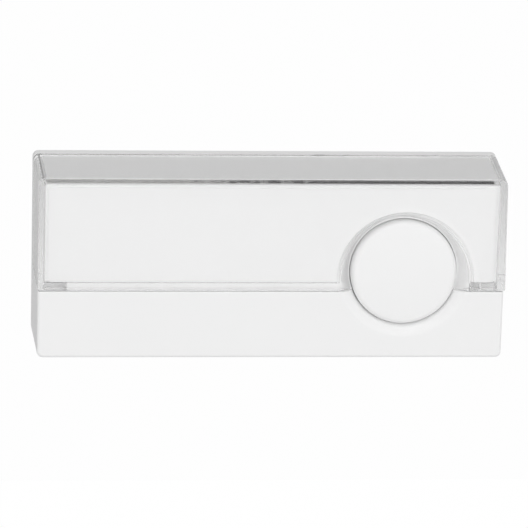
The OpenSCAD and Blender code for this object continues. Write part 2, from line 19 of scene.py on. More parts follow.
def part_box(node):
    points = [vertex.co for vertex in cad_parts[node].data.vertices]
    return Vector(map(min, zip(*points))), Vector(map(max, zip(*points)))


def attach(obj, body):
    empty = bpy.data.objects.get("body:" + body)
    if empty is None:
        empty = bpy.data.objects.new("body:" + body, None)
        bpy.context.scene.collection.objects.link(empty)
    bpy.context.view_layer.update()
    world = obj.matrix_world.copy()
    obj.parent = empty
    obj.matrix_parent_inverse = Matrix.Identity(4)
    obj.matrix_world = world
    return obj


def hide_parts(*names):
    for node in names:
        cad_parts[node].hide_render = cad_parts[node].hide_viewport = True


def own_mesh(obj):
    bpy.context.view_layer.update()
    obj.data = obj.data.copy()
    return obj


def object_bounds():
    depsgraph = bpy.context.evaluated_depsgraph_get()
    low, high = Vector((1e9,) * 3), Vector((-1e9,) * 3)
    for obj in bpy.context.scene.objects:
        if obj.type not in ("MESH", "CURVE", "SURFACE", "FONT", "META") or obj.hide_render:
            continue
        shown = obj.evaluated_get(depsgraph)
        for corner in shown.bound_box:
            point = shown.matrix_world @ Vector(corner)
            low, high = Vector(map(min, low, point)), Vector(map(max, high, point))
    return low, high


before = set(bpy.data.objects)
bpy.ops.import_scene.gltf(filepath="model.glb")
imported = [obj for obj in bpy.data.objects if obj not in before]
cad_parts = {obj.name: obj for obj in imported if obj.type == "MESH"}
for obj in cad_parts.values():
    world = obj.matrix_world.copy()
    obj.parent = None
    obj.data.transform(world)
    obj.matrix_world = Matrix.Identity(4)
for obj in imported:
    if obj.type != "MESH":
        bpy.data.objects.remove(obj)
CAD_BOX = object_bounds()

LOG = logging.getLogger("bell_push")

MM = 0.001
STAND = Matrix.Scale(MM, 4) @ Matrix.Rotation(math.pi / 2, 4, "X")
OVER = 0.2  # how far a cutter runs past the face that it opens
CLEAR = 1.0  # how far a trimming block stands past the part
WELD = 1e-4  # vertices closer than this are one
SAME = 1e-3  # lengths closer than this are the same level
SHARP_DEG = 32.0  # edges sharper than this stay crisp

Span = tuple[float, float]
Point = tuple[float, float]
Corner = tuple[float, float, float]
EdgeTest = Callable[[bmesh.types.BMEdge], bool]


class Axis(Enum):
    """Directions of the drawing frame."""

    ACROSS = 0
    UP = 1
    OUT = 2


class Combine(Enum):
    """Ways in which one solid can act on another."""

    JOIN = "UNION"
    CUT = "DIFFERENCE"
    KEEP = "INTERSECT"


class Turn(IntEnum):
    """Steps of a full turn, by the kind of form."""

    FRONT = 128
    PLAIN = 96
    RING = 72
    STEM = 64
    PIN = 48
    WIRE = 32


class Make(Enum):
    """How a piece is made, which ends its name."""

    MOULDING = "moulding"
    STAMPING = "stamping"
    TURNING = "turning"
    COIL = "coil"
    CARD = "stock"


def at_level(axis: Axis, level: float) -> EdgeTest:
    """Tests whether an edge lies wholly at one level of an axis."""
    return lambda edge: all(abs(v.co[axis.value] - level) < SAME for v in edge.verts)


def runs_along(axis: Axis, least: float) -> EdgeTest:
    """Tests whether an edge rises along an axis by more than a least length."""
    return lambda edge: abs(edge.verts[0].co[axis.value] - edge.verts[1].co[axis.value]) > least


def beyond(axis: Axis, level: float) -> EdgeTest:
    """Tests whether an edge reaches past a level of an axis."""
    return lambda edge: any(v.co[axis.value] > level + SAME for v in edge.verts)


def both(*tests: EdgeTest) -> EdgeTest:
    """Joins tests that an edge has to pass together."""
    return lambda edge: all(test(edge) for test in tests)


def either(*tests: EdgeTest) -> EdgeTest:
    """Joins tests of which an edge has to pass one."""
    return lambda edge: any(test(edge) for test in tests)


def arc(centre: Point, radius: float, start: float, end: float, steps: int = 12) -> list[Point]:
    """Points along an arc between two angles in degrees, both ends included."""
    turns = [math.radians(start + (end - start) * i / steps) for i in range(steps + 1)]
    return [(centre[0] + radius * math.cos(a), centre[1] + radius * math.sin(a)) for a in turns]


def rounded(corners: Sequence[Corner], steps: int = 5) -> list[Point]:
    """An outline whose corners are rounded where they have a radius.

    Args:
        corners: Places of the corners, each with its radius.
        steps: The number of chords in a rounded corner.

    Returns:
        The points of the outline.
    """
    points: list[Point] = []
    for i, (x, y, radius) in enumerate(corners):
        if radius <= 0:
            points.append((x, y))
            continue
        here = Vector((x, y))
        back = (Vector(corners[i - 1][:2]) - here).normalized()
        ahead = (Vector(corners[i + 1][:2]) - here).normalized()
        half = back.angle(ahead) / 2
        middle = (back + ahead).normalized()
        centre = here + middle * (radius / math.sin(half))
        first = here + back * (radius / math.tan(half)) - centre
        last = here + ahead * (radius / math.tan(half)) - centre
        for k in range(steps + 1):
            spoke = first.slerp(last, k / steps) if first.angle(last) > SAME else first
            points.append(tuple(centre + spoke.normalized() * radius))
    return points


class Solid:
    """A closed shape in millimetres, drawn lying on the wall."""

    def __init__(self) -> None:
        """Starts empty."""
        self.mesh = bmesh.new()

    @classmethod
    def box(cls, x: Span, y: Span, z: Span) -> "Solid":
        """A block between two places on each axis.

        Args:
            x: Its left and right ends.
            y: Its lower and upper ends.
            z: Its rear and front ends.

        Returns:
            The block.
        """
        solid = cls()
        bmesh.ops.create_cube(solid.mesh, size=1.0)
        spans = (x, y, z)
        bmesh.ops.scale(solid.mesh, vec=[high - low for low, high in spans], verts=solid.mesh.verts)
        bmesh.ops.translate(solid.mesh, vec=[(low + high) / 2 for low, high in spans], verts=solid.mesh.verts)
        return solid

    @classmethod
    def turned(cls, profile: Sequence[Point], centre: Point = (0.0, 0.0), steps: int = Turn.PLAIN) -> "Solid":
        """A shape of revolution about an axis that points out of the wall.

        Args:
            profile: Points of radius and level, from axis to axis or as a ring round a bore.
            centre: Where the axis stands.
            steps: The number of steps in a full turn.

        Returns:
            The turned solid.
        """
        solid = cls()
        mesh = solid.mesh
        verts = [mesh.verts.new((radius, 0.0, level)) for radius, level in profile]
        edges = [mesh.edges.new(pair) for pair in zip(verts, verts[1:])]
        if profile[0][0] > SAME:
            edges.append(mesh.edges.new((verts[-1], verts[0])))
        bmesh.ops.spin(
            mesh, geom=verts + edges, cent=(0, 0, 0), axis=(0, 0, 1), angle=math.tau, steps=steps,
            use_merge=True,
        )
        bmesh.ops.remove_doubles(mesh, verts=mesh.verts, dist=WELD)
        bmesh.ops.recalc_face_normals(mesh, faces=mesh.faces)
        bmesh.ops.translate(mesh, vec=(*centre, 0.0), verts=mesh.verts)
        return solid

    @classmethod
    def disc(cls, radius: float, z: Span, centre: Point = (0.0, 0.0), steps: int = Turn.PLAIN) -> "Solid":
        """A plain cylinder that points out of the wall, between two levels."""
        return cls.turned([(0, z[0]), (radius, z[0]), (radius, z[1]), (0, z[1])], centre, steps)

    def round(self, radius: float, test: EdgeTest, segments: int = 4) -> "Solid":
        """Rounds the edges that pass a test.

        Args:
            radius: Radius of the rounding.
            test: Which edges to round.
            segments: Steps across the rounding.

        Returns:
            This solid.
        """
        edges = [edge for edge in self.mesh.edges if test(edge)]
        bmesh.ops.bevel(
            self.mesh, geom=edges, offset=radius, offset_type="OFFSET", segments=segments,
            profile=0.5, affect="EDGES", material=-1,
        )
        return self

    def turn(self, degrees: float, axis: Axis, centre: Point) -> "Solid":
        """Turns the solid about an axis through a point of the front.

        Args:
            degrees: The angle.
            axis: The axis to turn about.
            centre: The point that stays.

        Returns:
            This solid.
        """
        spin = Matrix.Rotation(math.radians(degrees), 3, "XYZ"[axis.value])
        bmesh.ops.rotate(self.mesh, cent=(*centre, 0.0), matrix=spin, verts=self.mesh.verts)
        return self

    def lean(self, shift: Point, z: Span) -> "Solid":
        """Shifts the solid sideways, more and more from one level to another.

        Args:
            shift: The whole shift across and up.
            z: The levels where it starts and ends.

        Returns:
            This solid.
        """
        for vert in self.mesh.verts:
            share = min(max((vert.co.z - z[0]) / (z[1] - z[0]), 0.0), 1.0)
            vert.co += Vector((*shift, 0.0)) * share
        return self

    def mirrored(self) -> "Solid":
        """A copy on the other side of the upright middle plane.

        Returns:
            The copy.
        """
        twin = Solid()
        twin.mesh.free()
        twin.mesh = self.mesh.copy()
        bmesh.ops.scale(twin.mesh, vec=(-1, 1, 1), verts=twin.mesh.verts)
        bmesh.ops.reverse_faces(twin.mesh, faces=twin.mesh.faces)
        return twin

    def join(self, *others: "Solid") -> "Solid":
        """Fuses other solids to this one."""
        return self._combine(others, Combine.JOIN)

    def cut(self, *others: "Solid") -> "Solid":
        """Takes other solids out of this one."""
        return self._combine(others, Combine.CUT)

    def keep(self, *others: "Solid") -> "Solid":
        """Keeps what this solid shares with others."""
        return self._combine(others, Combine.KEEP)

    def _combine(self, others: Iterable["Solid"], how: Combine) -> "Solid":
        """Lets other solids act on this one, which uses them up.

        Args:
            others: The solids that act.
            how: What they do.

        Returns:
            This solid.
        """
        for other in others:
            target = self._loan("target")
            tool = other._loan("tool")
            modifier = target.modifiers.new(how.name, "BOOLEAN")
            modifier.operation = how.value
            modifier.solver = "EXACT"
            modifier.object = tool
            graph = bpy.context.evaluated_depsgraph_get()
            result = bpy.data.meshes.new_from_object(target.evaluated_get(graph))
            self.mesh.clear()
            self.mesh.from_mesh(result)
            other.mesh.free()
            for mesh in (result, target.data, tool.data):
                bpy.data.meshes.remove(mesh)
        return self

    def _loan(self, name: str) -> bpy.types.Object:
        """A passing object that holds a copy of this solid.

        Args:
            name: Its name.

        Returns:
            The object, in the scene.
        """
        mesh = bpy.data.meshes.new(name)
        self.mesh.to_mesh(mesh)
        loan = bpy.data.objects.new(name, mesh)
        bpy.context.scene.collection.objects.link(loan)
        return loan

    def add(self, *others: "Solid") -> "Solid":
        """Lays other solids beside this one, as separate shells of one piece.

        Args:
            others: The solids to lay beside it.

        Returns:
            This solid.
        """
        for other in others:
            mesh = bpy.data.meshes.new("shell")
            other.mesh.to_mesh(mesh)
            self.mesh.from_mesh(mesh)
            other.mesh.free()
            bpy.data.meshes.remove(mesh)
        return self

    def place(self, node: str, make: Make, finish: "Finish", body: str, slot: str) -> bpy.types.Object:
        """Makes the solid a finished piece that stands for a node.

        Args:
            node: The node that it stands for.
            make: How the piece is made.
            finish: Its finish.
            body: The body that it rides on.
            slot: Not used.

        Returns:
            The piece.
        """
        name = f"{node}_{make.value}"
        bmesh.ops.remove_doubles(self.mesh, verts=self.mesh.verts, dist=WELD)
        bmesh.ops.dissolve_degenerate(self.mesh, edges=self.mesh.edges, dist=WELD)
        bmesh.ops.transform(self.mesh, matrix=STAND, verts=self.mesh.verts)
        mesh = bpy.data.meshes.new(name)
        self.mesh.to_mesh(mesh)
        self.mesh.free()
        mesh.shade_smooth()
        mesh.set_sharp_from_angle(angle=math.radians(SHARP_DEG))
        mesh.materials.clear()
        mesh.materials.append(finish.material())
        piece = bpy.data.objects.new(name, mesh)
        bpy.context.scene.collection.objects.link(piece)
        shading = piece.modifiers.new("even shading", "WEIGHTED_NORMAL")
        shading.keep_sharp = True
        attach(piece, body)
        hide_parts(node)
        LOG.info("%s: %d faces on %s", name, len(mesh.polygons), body)
        return piece


class Value:
    """A node's output that arithmetic can be written on."""

    def __init__(self, sheet: "NodeSheet", socket: bpy.types.NodeSocket) -> None:
        """Wraps an output socket of a node on a sheet."""
        self.sheet = sheet
        self.socket = socket

    def other(self, output: str) -> "Value":
        """Another output of the same node."""
        return Value(self.sheet, self.socket.node.outputs[output])

    def _math(self, operation: str, first: "Value | float", second: "Value | float") -> "Value":
        """Adds a Math node for one step of an expression."""
        return self.sheet.node("ShaderNodeMath", {"operation": operation}, {0: first, 1: second})

    def __add__(self, other: "Value | float") -> "Value":
        """Sum of two values."""
        return self._math("ADD", self, other)

    __radd__ = __add__

    def __sub__(self, other: "Value | float") -> "Value":
        """Difference of two values."""
        return self._math("SUBTRACT", self, other)

    def __rsub__(self, other: float) -> "Value":
        """A number less this value."""
        return self._math("SUBTRACT", other, self)

    def __mul__(self, other: "Value | float") -> "Value":
        """Product of two values."""
        return self._math("MULTIPLY", self, other)

    __rmul__ = __mul__

    def __pow__(self, other: "Value | float") -> "Value":
        """This value to a power."""
        return self._math("POWER", self, other)

    def __lt__(self, other: "Value | float") -> "Value":
        """One where this value is the lesser."""
        return self._math("LESS_THAN", self, other)

    def __or__(self, other: "Value | float") -> "Value":
        """The greater of two masks."""
        return self._math("MAXIMUM", self, other)


Input = Value | float | tuple[float, ...]


class NodeSheet:
    """A node tree that is filled from expressions."""

    def __init__(self, tree: bpy.types.NodeTree) -> None:
        """Empties the tree that is to be filled."""
        self.tree = tree
        tree.nodes.clear()

    def node(
        self,
        kind: str,
        settings: dict[str, object] | None = None,
        inputs: dict[int | str, Input] | None = None,
        output: int | str = 0,
    ) -> Value | None:
        """Adds a node.

        Args:
            kind: The node's type.
            settings: Its properties, which are set first. The key stops sets a ramp's stops.
            inputs: Values or links of its sockets.
            output: Which output to hand back.

        Returns:
            That output, or nothing from a node without outputs.
        """
        made = self.tree.nodes.new(kind)
        for name, setting in (settings or {}).items():
            if name == "stops":
                self._set_stops(made.color_ramp, setting)
            else:
                setattr(made, name, setting)
        for key, value in (inputs or {}).items():
            if isinstance(value, Value):
                self.tree.links.new(value.socket, made.inputs[key])
            else:
                made.inputs[key].default_value = value
        return Value(self, made.outputs[output]) if made.outputs else None

    def _set_stops(self, ramp: bpy.types.ColorRamp, stops: Sequence[tuple[float, float]]) -> None:
        """Sets a ramp's stops.

        Args:
            ramp: The ramp.
            stops: The place and the grey level of each stop.
        """
        while len(ramp.elements) < len(stops):
            ramp.elements.new(1.0)
        for element, (place, level) in zip(ramp.elements, stops):
            element.position = place
            element.color = (level, level, level, 1.0)

    def millimetres(self, stretch: tuple[float, float, float] = (1.0, 1.0, 1.0)) -> Value:
        """The piece's own coordinates in millimetres.

        Args:
            stretch: Scale of each axis, for patterns with a direction.

        Returns:
            The coordinates.
        """
        place = self.node("ShaderNodeTexCoord", output="Object")
        scale = tuple(s / MM for s in stretch)
        return self.node("ShaderNodeMapping", {"vector_type": "POINT"}, {"Vector": place, "Scale": scale})

    def noise(self, where: Value, pitch: float, detail: float = 2.0, roughness: float = 0.5) -> Value:
        """Soft random values around one half, in specks of a pitch in millimetres."""
        inputs = {"Vector": where, "Scale": 1 / pitch, "Detail": detail, "Roughness": roughness}
        return self.node("ShaderNodeTexNoise", None, inputs, "Fac")

    def mix(self, share: Value, first: Input, second: Input) -> Value:
        """A colour between two colours, by the share of the second."""
        return self.node("ShaderNodeMix", {"data_type": "RGBA"}, {0: share, 6: first, 7: second}, 2)

    def fade(self, value: Value, edges: Span) -> Value:
        """A mask that rises from 0 to 1 between two levels of a value."""
        return self.node("ShaderNodeValToRGB", {"stops": list(zip(edges, (0.0, 1.0)))}, {"Fac": value})

    def bump(self, height: Value, depth: float, below: Value | None = None) -> Value:
        """A surface normal that follows a height.

        Args:
            height: The height, from 0 to 1.
            depth: What a height of 1 stands for, in millimetres.
            below: A normal that this one adds to.

        Returns:
            The normal.
        """
        inputs: dict[int | str, Input] = {"Height": height, "Distance": depth * MM}
        if below is not None:
            inputs["Normal"] = below
        return self.node("ShaderNodeBump", None, inputs)

    def surface(self, inputs: dict[int | str, Input], body: dict[int | str, Input] | None = None) -> None:
        """Ends a material with its surface shader.

        Args:
            inputs: Values or links of the shader's sockets.
            body: Values of the sockets of what absorbs light inside, if the material is clear.
        """
        ends = {"Surface": self.node("ShaderNodeBsdfPrincipled", None, inputs)}
        if body is not None:
            ends["Volume"] = self.node("ShaderNodeVolumeAbsorption", None, body)
        self.node("ShaderNodeOutputMaterial", None, ends)


def grey(level: float) -> tuple[float, float, float, float]:
    """An even grey of a given level."""
    return (level, level, level, 1.0)


def shaded(colour: tuple[float, float, float], share: float) -> tuple[float, float, float, float]:
    """A colour made lighter or darker by a share."""
    return (*(min(1.0, c * share) for c in colour), 1.0)


@dataclass(frozen=True)
class Finish:
    """What every finish has: a name and a material that is made once."""

    name: str

    def material(self) -> bpy.types.Material:
        """The finish's material, made on first use.

        Returns:
            The material.
        """
        known = bpy.data.materials.get(self.name)
        if known is not None and known.get("made_here"):
            return known
        material = bpy.data.materials.new(self.name)
        material["made_here"] = True
        material.use_nodes = True
        self.draw(NodeSheet(material.node_tree))
        return material

    def draw(self, sheet: NodeSheet) -> None:
        """Draws the finish's nodes on a sheet."""
        raise NotImplementedError


@dataclass(frozen=True)
class MouldedPlastic(Finish):
    """Opaque moulded plastic with a fine satin grain."""

    colour: tuple[float, float, float]
    roughness: float = 0.36
    cloud_pitch: float = 14.0
    cloud_share: float = 0.985
    grain_pitch: float = 0.16
    grain_depth: float = 0.0022
    ripple_pitch: float = 9.0
    ripple_depth: float = 0.010
    grain_gloss: float = 0.10
    cloud_gloss: float = 0.06
    index: float = 1.5

    def draw(self, sheet: NodeSheet) -> None:
        """Draws clouded colour, grain and the slow ripple of a moulded wall.

        Args:
            sheet: The sheet to draw on.
        """
        where = sheet.millimetres()
        cloud = sheet.noise(where, self.cloud_pitch, detail=3.0)
        grain = sheet.noise(where, self.grain_pitch, detail=3.0, roughness=0.6)
        ripple = sheet.noise(where, self.ripple_pitch, detail=1.0)
        colour = sheet.mix(cloud, shaded(self.colour, self.cloud_share), shaded(self.colour, 1.0))
        slow = sheet.bump(ripple, self.ripple_depth)
        sheet.surface({
            "Base Color": colour,
            "Roughness": self.roughness + self.grain_gloss * (grain - 0.5) + self.cloud_gloss * (cloud - 0.5),
            "Normal": sheet.bump(grain, self.grain_depth, slow),
            "IOR": self.index,
        })


@dataclass(frozen=True)
class ClearPlastic(Finish):
    """Polished clear plastic with the faint flow of its moulding."""

    tint: tuple[float, float, float]
    depth_colour: tuple[float, float, float]
    depth_density: float = 80.0
    index: float = 1.49
    flow: tuple[float, float, float] = (0.35, 1.0, 1.0)
    flow_pitch: float = 11.0
    flow_depth: float = 0.004
    flow_share: float = 0.992
    matt_end: float = 30.0
    matt_level: float = -2.4
    matt_roughness: float = 0.4

    def draw(self, sheet: NodeSheet) -> None:
        """Draws a clear body whose tint and surface wander, with a matt rear edge at its right end.

        Args:
            sheet: The sheet to draw on.
        """
        flow = sheet.noise(sheet.millimetres(self.flow), self.flow_pitch, detail=1.0)
        place = sheet.node("ShaderNodeSeparateXYZ", None, {"Vector": sheet.millimetres()}, "X")
        matt = (1.0 - (place < self.matt_end)) * (1.0 - (place.other("Y") < self.matt_level))
        sheet.surface({
            "Base Color": sheet.mix(flow, shaded(self.tint, 1.0), shaded(self.tint, self.flow_share)),
            "Roughness": self.matt_roughness * matt,
            "IOR": self.index,
            "Transmission Weight": 1.0,
            "Normal": sheet.bump(flow, self.flow_depth),
        }, {"Color": shaded(self.depth_colour, 1.0), "Density": self.depth_density})


@dataclass(frozen=True)
class CardStock(Finish):
    """Matt white card with short paper fibres."""

    colour: tuple[float, float, float]
    fibre_pitch: float = 0.22
    fibre_depth: float = 0.012
    fibre_share: float = 0.6
    along: tuple[float, float, float] = (0.25, 1.0, 1.0)
    across: tuple[float, float, float] = (1.0, 1.0, 0.3)
    cloud_pitch: float = 6.0
    tones: tuple[float, float] = (0.985, 1.012)
    roughness: float = 0.74
    fibre_gloss: float = 0.16
    sheen: float = 0.3

    def draw(self, sheet: NodeSheet) -> None:
        """Draws crossed fibres and a slow cloud of tone.

        Args:
            sheet: The sheet to draw on.
        """
        along = sheet.noise(sheet.millimetres(self.along), self.fibre_pitch, detail=3.0, roughness=0.6)
        across = sheet.noise(sheet.millimetres(self.across), self.fibre_pitch, detail=3.0, roughness=0.6)
        cloud = sheet.noise(sheet.millimetres(), self.cloud_pitch, detail=2.0)
        fibres = 0.5 * (along + across)
        tone = self.fibre_share * fibres + (1 - self.fibre_share) * cloud
        sheet.surface({
            "Base Color": sheet.mix(tone, *(shaded(self.colour, share) for share in self.tones)),
            "Roughness": self.roughness + self.fibre_gloss * fibres,
            "Normal": sheet.bump(fibres, self.fibre_depth),
            "Specular IOR Level": self.sheen,
        })


@dataclass(frozen=True)
class WorkedMetal(Finish):
    """Bare or plated metal with drawn or rolled streaks and a little tarnish."""

    colour: tuple[float, float, float]
    roughness: float = 0.28
    streak: tuple[float, float, float] = (0.06, 1.0, 1.0)
    streak_pitch: float = 0.12
    streak_depth: float = 0.002
    tarnish: float = 0.78
    stain_pitch: float = 1.8
    stain_share: float = 0.55
    stain_edges: tuple[float, float] = (0.52, 0.72)
    streak_gloss: float = 0.14
    stain_gloss: float = 0.12

    def draw(self, sheet: NodeSheet) -> None:
        """Draws streaks, tarnish and the wear that they make.

        Args:
            sheet: The sheet to draw on.
        """
        streaks = sheet.noise(sheet.millimetres(self.streak), self.streak_pitch, detail=3.0, roughness=0.6)
        stain = sheet.noise(sheet.millimetres(), self.stain_pitch, detail=4.0, roughness=0.6)
        mask = sheet.fade(stain, self.stain_edges)
        clean, stained = shaded(self.colour, 1.0), shaded(self.colour, self.tarnish)
        colour = sheet.mix(self.stain_share * mask, clean, stained)
        sheet.surface({
            "Base Color": colour,
            "Metallic": 1.0,
            "Roughness": self.roughness + self.streak_gloss * (streaks - 0.5) + self.stain_gloss * mask,
            "Normal": sheet.bump(streaks, self.streak_depth),
        })


@dataclass(frozen=True)
class SoftRubber(Finish):
    """Dull black rubber with a dusty bloom."""

    colour: tuple[float, float, float]
    tones: tuple[float, float] = (0.8, 1.7)
    bloom_pitch: float = 2.2
    bloom_gloss: float = 0.2
    skin_pitch: float = 0.12
    skin_depth: float = 0.004
    roughness: float = 0.62
    sheen: float = 0.35

    def draw(self, sheet: NodeSheet) -> None:
        """Draws the bloom and a fine skin.

        Args:
            sheet: The sheet to draw on.
        """
        bloom = sheet.noise(sheet.millimetres(), self.bloom_pitch, detail=4.0, roughness=0.65)
        skin = sheet.noise(sheet.millimetres(), self.skin_pitch, detail=2.0)
        sheet.surface({
            "Base Color": sheet.mix(bloom, *(shaded(self.colour, share) for share in self.tones)),
            "Roughness": self.roughness + self.bloom_gloss * bloom,
            "Normal": sheet.bump(skin, self.skin_depth),
            "Specular IOR Level": self.sheen,
        })


@dataclass(frozen=True)
class ShadePaintedRubber(Finish):
    """Black rubber strip that paints a dark shade line, with grey specks that thicken towards the left end
    and paint that shade lighter there.
    """

    colour: tuple[float, float, float]
    dust_and_shade: tuple[float, float, float]
    # Painted shade along the strip: black at the right end, lifted to grey towards the left end.
    dark_shade_end: float = 34.0
    light_shade_end: float = -60.0
    shade_lift: tuple[float, float] = (-0.45, 1.0)
    shade_lift_share: float = 0.55
    speck: tuple[float, float, float] = (0.5, 1.0, 1.6)
    speck_pitch: float = 0.6
    speck_depth: float = 0.01
    speck_drop: float = 0.05
    dust_and_shade_edges: tuple[float, float] = (0.45, 0.62)
    roughness: float = 0.6
    dust_and_shade_gloss: float = 0.3
    sheen: float = 0.3

    def draw(self, sheet: NodeSheet) -> None:
        """Draws grey specks that thin out along the strip, painting its shade lighter towards the left end.

        Args:
            sheet: The sheet to draw on.
        """
        place = sheet.node("ShaderNodeSeparateXYZ", None, {"Vector": sheet.millimetres()}, "X")
        specks = sheet.noise(sheet.millimetres(self.speck), self.speck_pitch, detail=3.0, roughness=0.7)
        ends = {"From Min": self.dark_shade_end, "From Max": self.light_shade_end}
        levels = {"To Min": self.shade_lift[0], "To Max": self.shade_lift[1]}
        shade_lift = sheet.node("ShaderNodeMapRange", {"clamp": True}, {"Value": place, **ends, **levels})
        # cover: grey specks plus painted lighter shade towards the left end.
        cover = sheet.fade(self.shade_lift_share * shade_lift + specks - self.speck_drop, self.dust_and_shade_edges)
        sheet.surface({
            "Base Color": sheet.mix(cover, shaded(self.colour, 1.0), shaded(self.dust_and_shade, 1.0)),
            "Roughness": self.roughness + self.dust_and_shade_gloss * cover,
            "Normal": sheet.bump(specks, self.speck_depth),
            "Specular IOR Level": self.sheen,
        })


@dataclass(frozen=True)
class Finishes:
    """The finishes of the bell push."""

    # The base plate's white is lighter than the housing's same plastic, painting more light on its upward
    # rim.
    base: Finish = MouldedPlastic("base white painted light", (0.94, 0.94, 0.94))
    housing: Finish = MouldedPlastic("housing white", (0.89, 0.89, 0.89))
    button: Finish = MouldedPlastic("button white", (0.9, 0.9, 0.9), roughness=0.32)
    clear: Finish = ClearPlastic("clear cover plastic", (0.998, 0.998, 0.998), (0.9, 0.9, 0.9))
    card: Finish = CardStock("white card", (0.89, 0.89, 0.89))
    natural: Finish = MouldedPlastic("natural plastic", (0.82, 0.82, 0.79), roughness=0.45)
    brass: Finish = WorkedMetal("rolled brass", (0.78, 0.60, 0.30))
    spring: Finish = WorkedMetal("spring steel", (0.60, 0.60, 0.61), 0.24, (1.0, 1.0, 1.0), 0.3, 0.001)
    silver: Finish = WorkedMetal("contact silver", (0.86, 0.85, 0.83), 0.2, (1.0, 1.0, 1.0), 0.2, 0.002)
    screw: Finish = WorkedMetal("zinc plated steel", (0.68, 0.68, 0.69), 0.3, (1.0, 1.0, 1.0), 0.25, 0.002)
    rubber: Finish = SoftRubber("grommet rubber", (0.03, 0.03, 0.03))
    # Black seal strip paints the dark shade line under the cover's top wall, lighter towards its left end.
    seal: Finish = ShadePaintedRubber("seal rubber painted shade", (0.03, 0.03, 0.03), (0.52, 0.52, 0.51))


@dataclass(frozen=True)
class Outline:
    """The drafted outline that the base plate, the housing and the cover share."""

    width: float
    height: float
    depth: float
    draft: float
    corner: float = 1.0

    @classmethod
    def of_frame(cls, draft: float = 0.5) -> "Outline":
        """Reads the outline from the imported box, whose sides grow by a draft towards the wall."""
        width, depth, height = (round(length / MM, 3) for length in CAD_BOX[1] - CAD_BOX[0])
        return cls(width - 2 * draft, height - 2 * draft, depth, draft)

    def grow(self, out: float) -> float:
        """How far a side has grown at a distance out of the wall."""
        return self.draft * (1 - out / self.depth)

    def side(self, out: float) -> float:
        """Half the width at a distance out of the wall."""
        return self.width / 2 + self.grow(out)

    def top(self, out: float) -> float:
        """Half the height at a distance out of the wall."""
        return self.height / 2 + self.grow(out)

    def block(
        self, z: Span, inset: float = 0.0, low: float | None = None, high: float | None = None
    ) -> Solid:
        """A block inside the outline.

        Args:
            z: Its rear and front levels.
            inset: How far it is drawn in.
            low: Its lower edge, if it isn't the outline's.
            high: Its upper edge, if it isn't the outline's.

        Returns:
            The block, with sharp edges.
        """
        solid = Solid.box((-1, 1), (-1, 1), (-1, 1))
        for vert in solid.mesh.verts:
            level = z[vert.co.z > 0]
            edge = high if vert.co.y > 0 else low
            if edge is None:
                edge = math.copysign(self.top(level) - inset, vert.co.y)
            vert.co = (math.copysign(self.side(level) - inset, vert.co.x), edge, level)
        return solid


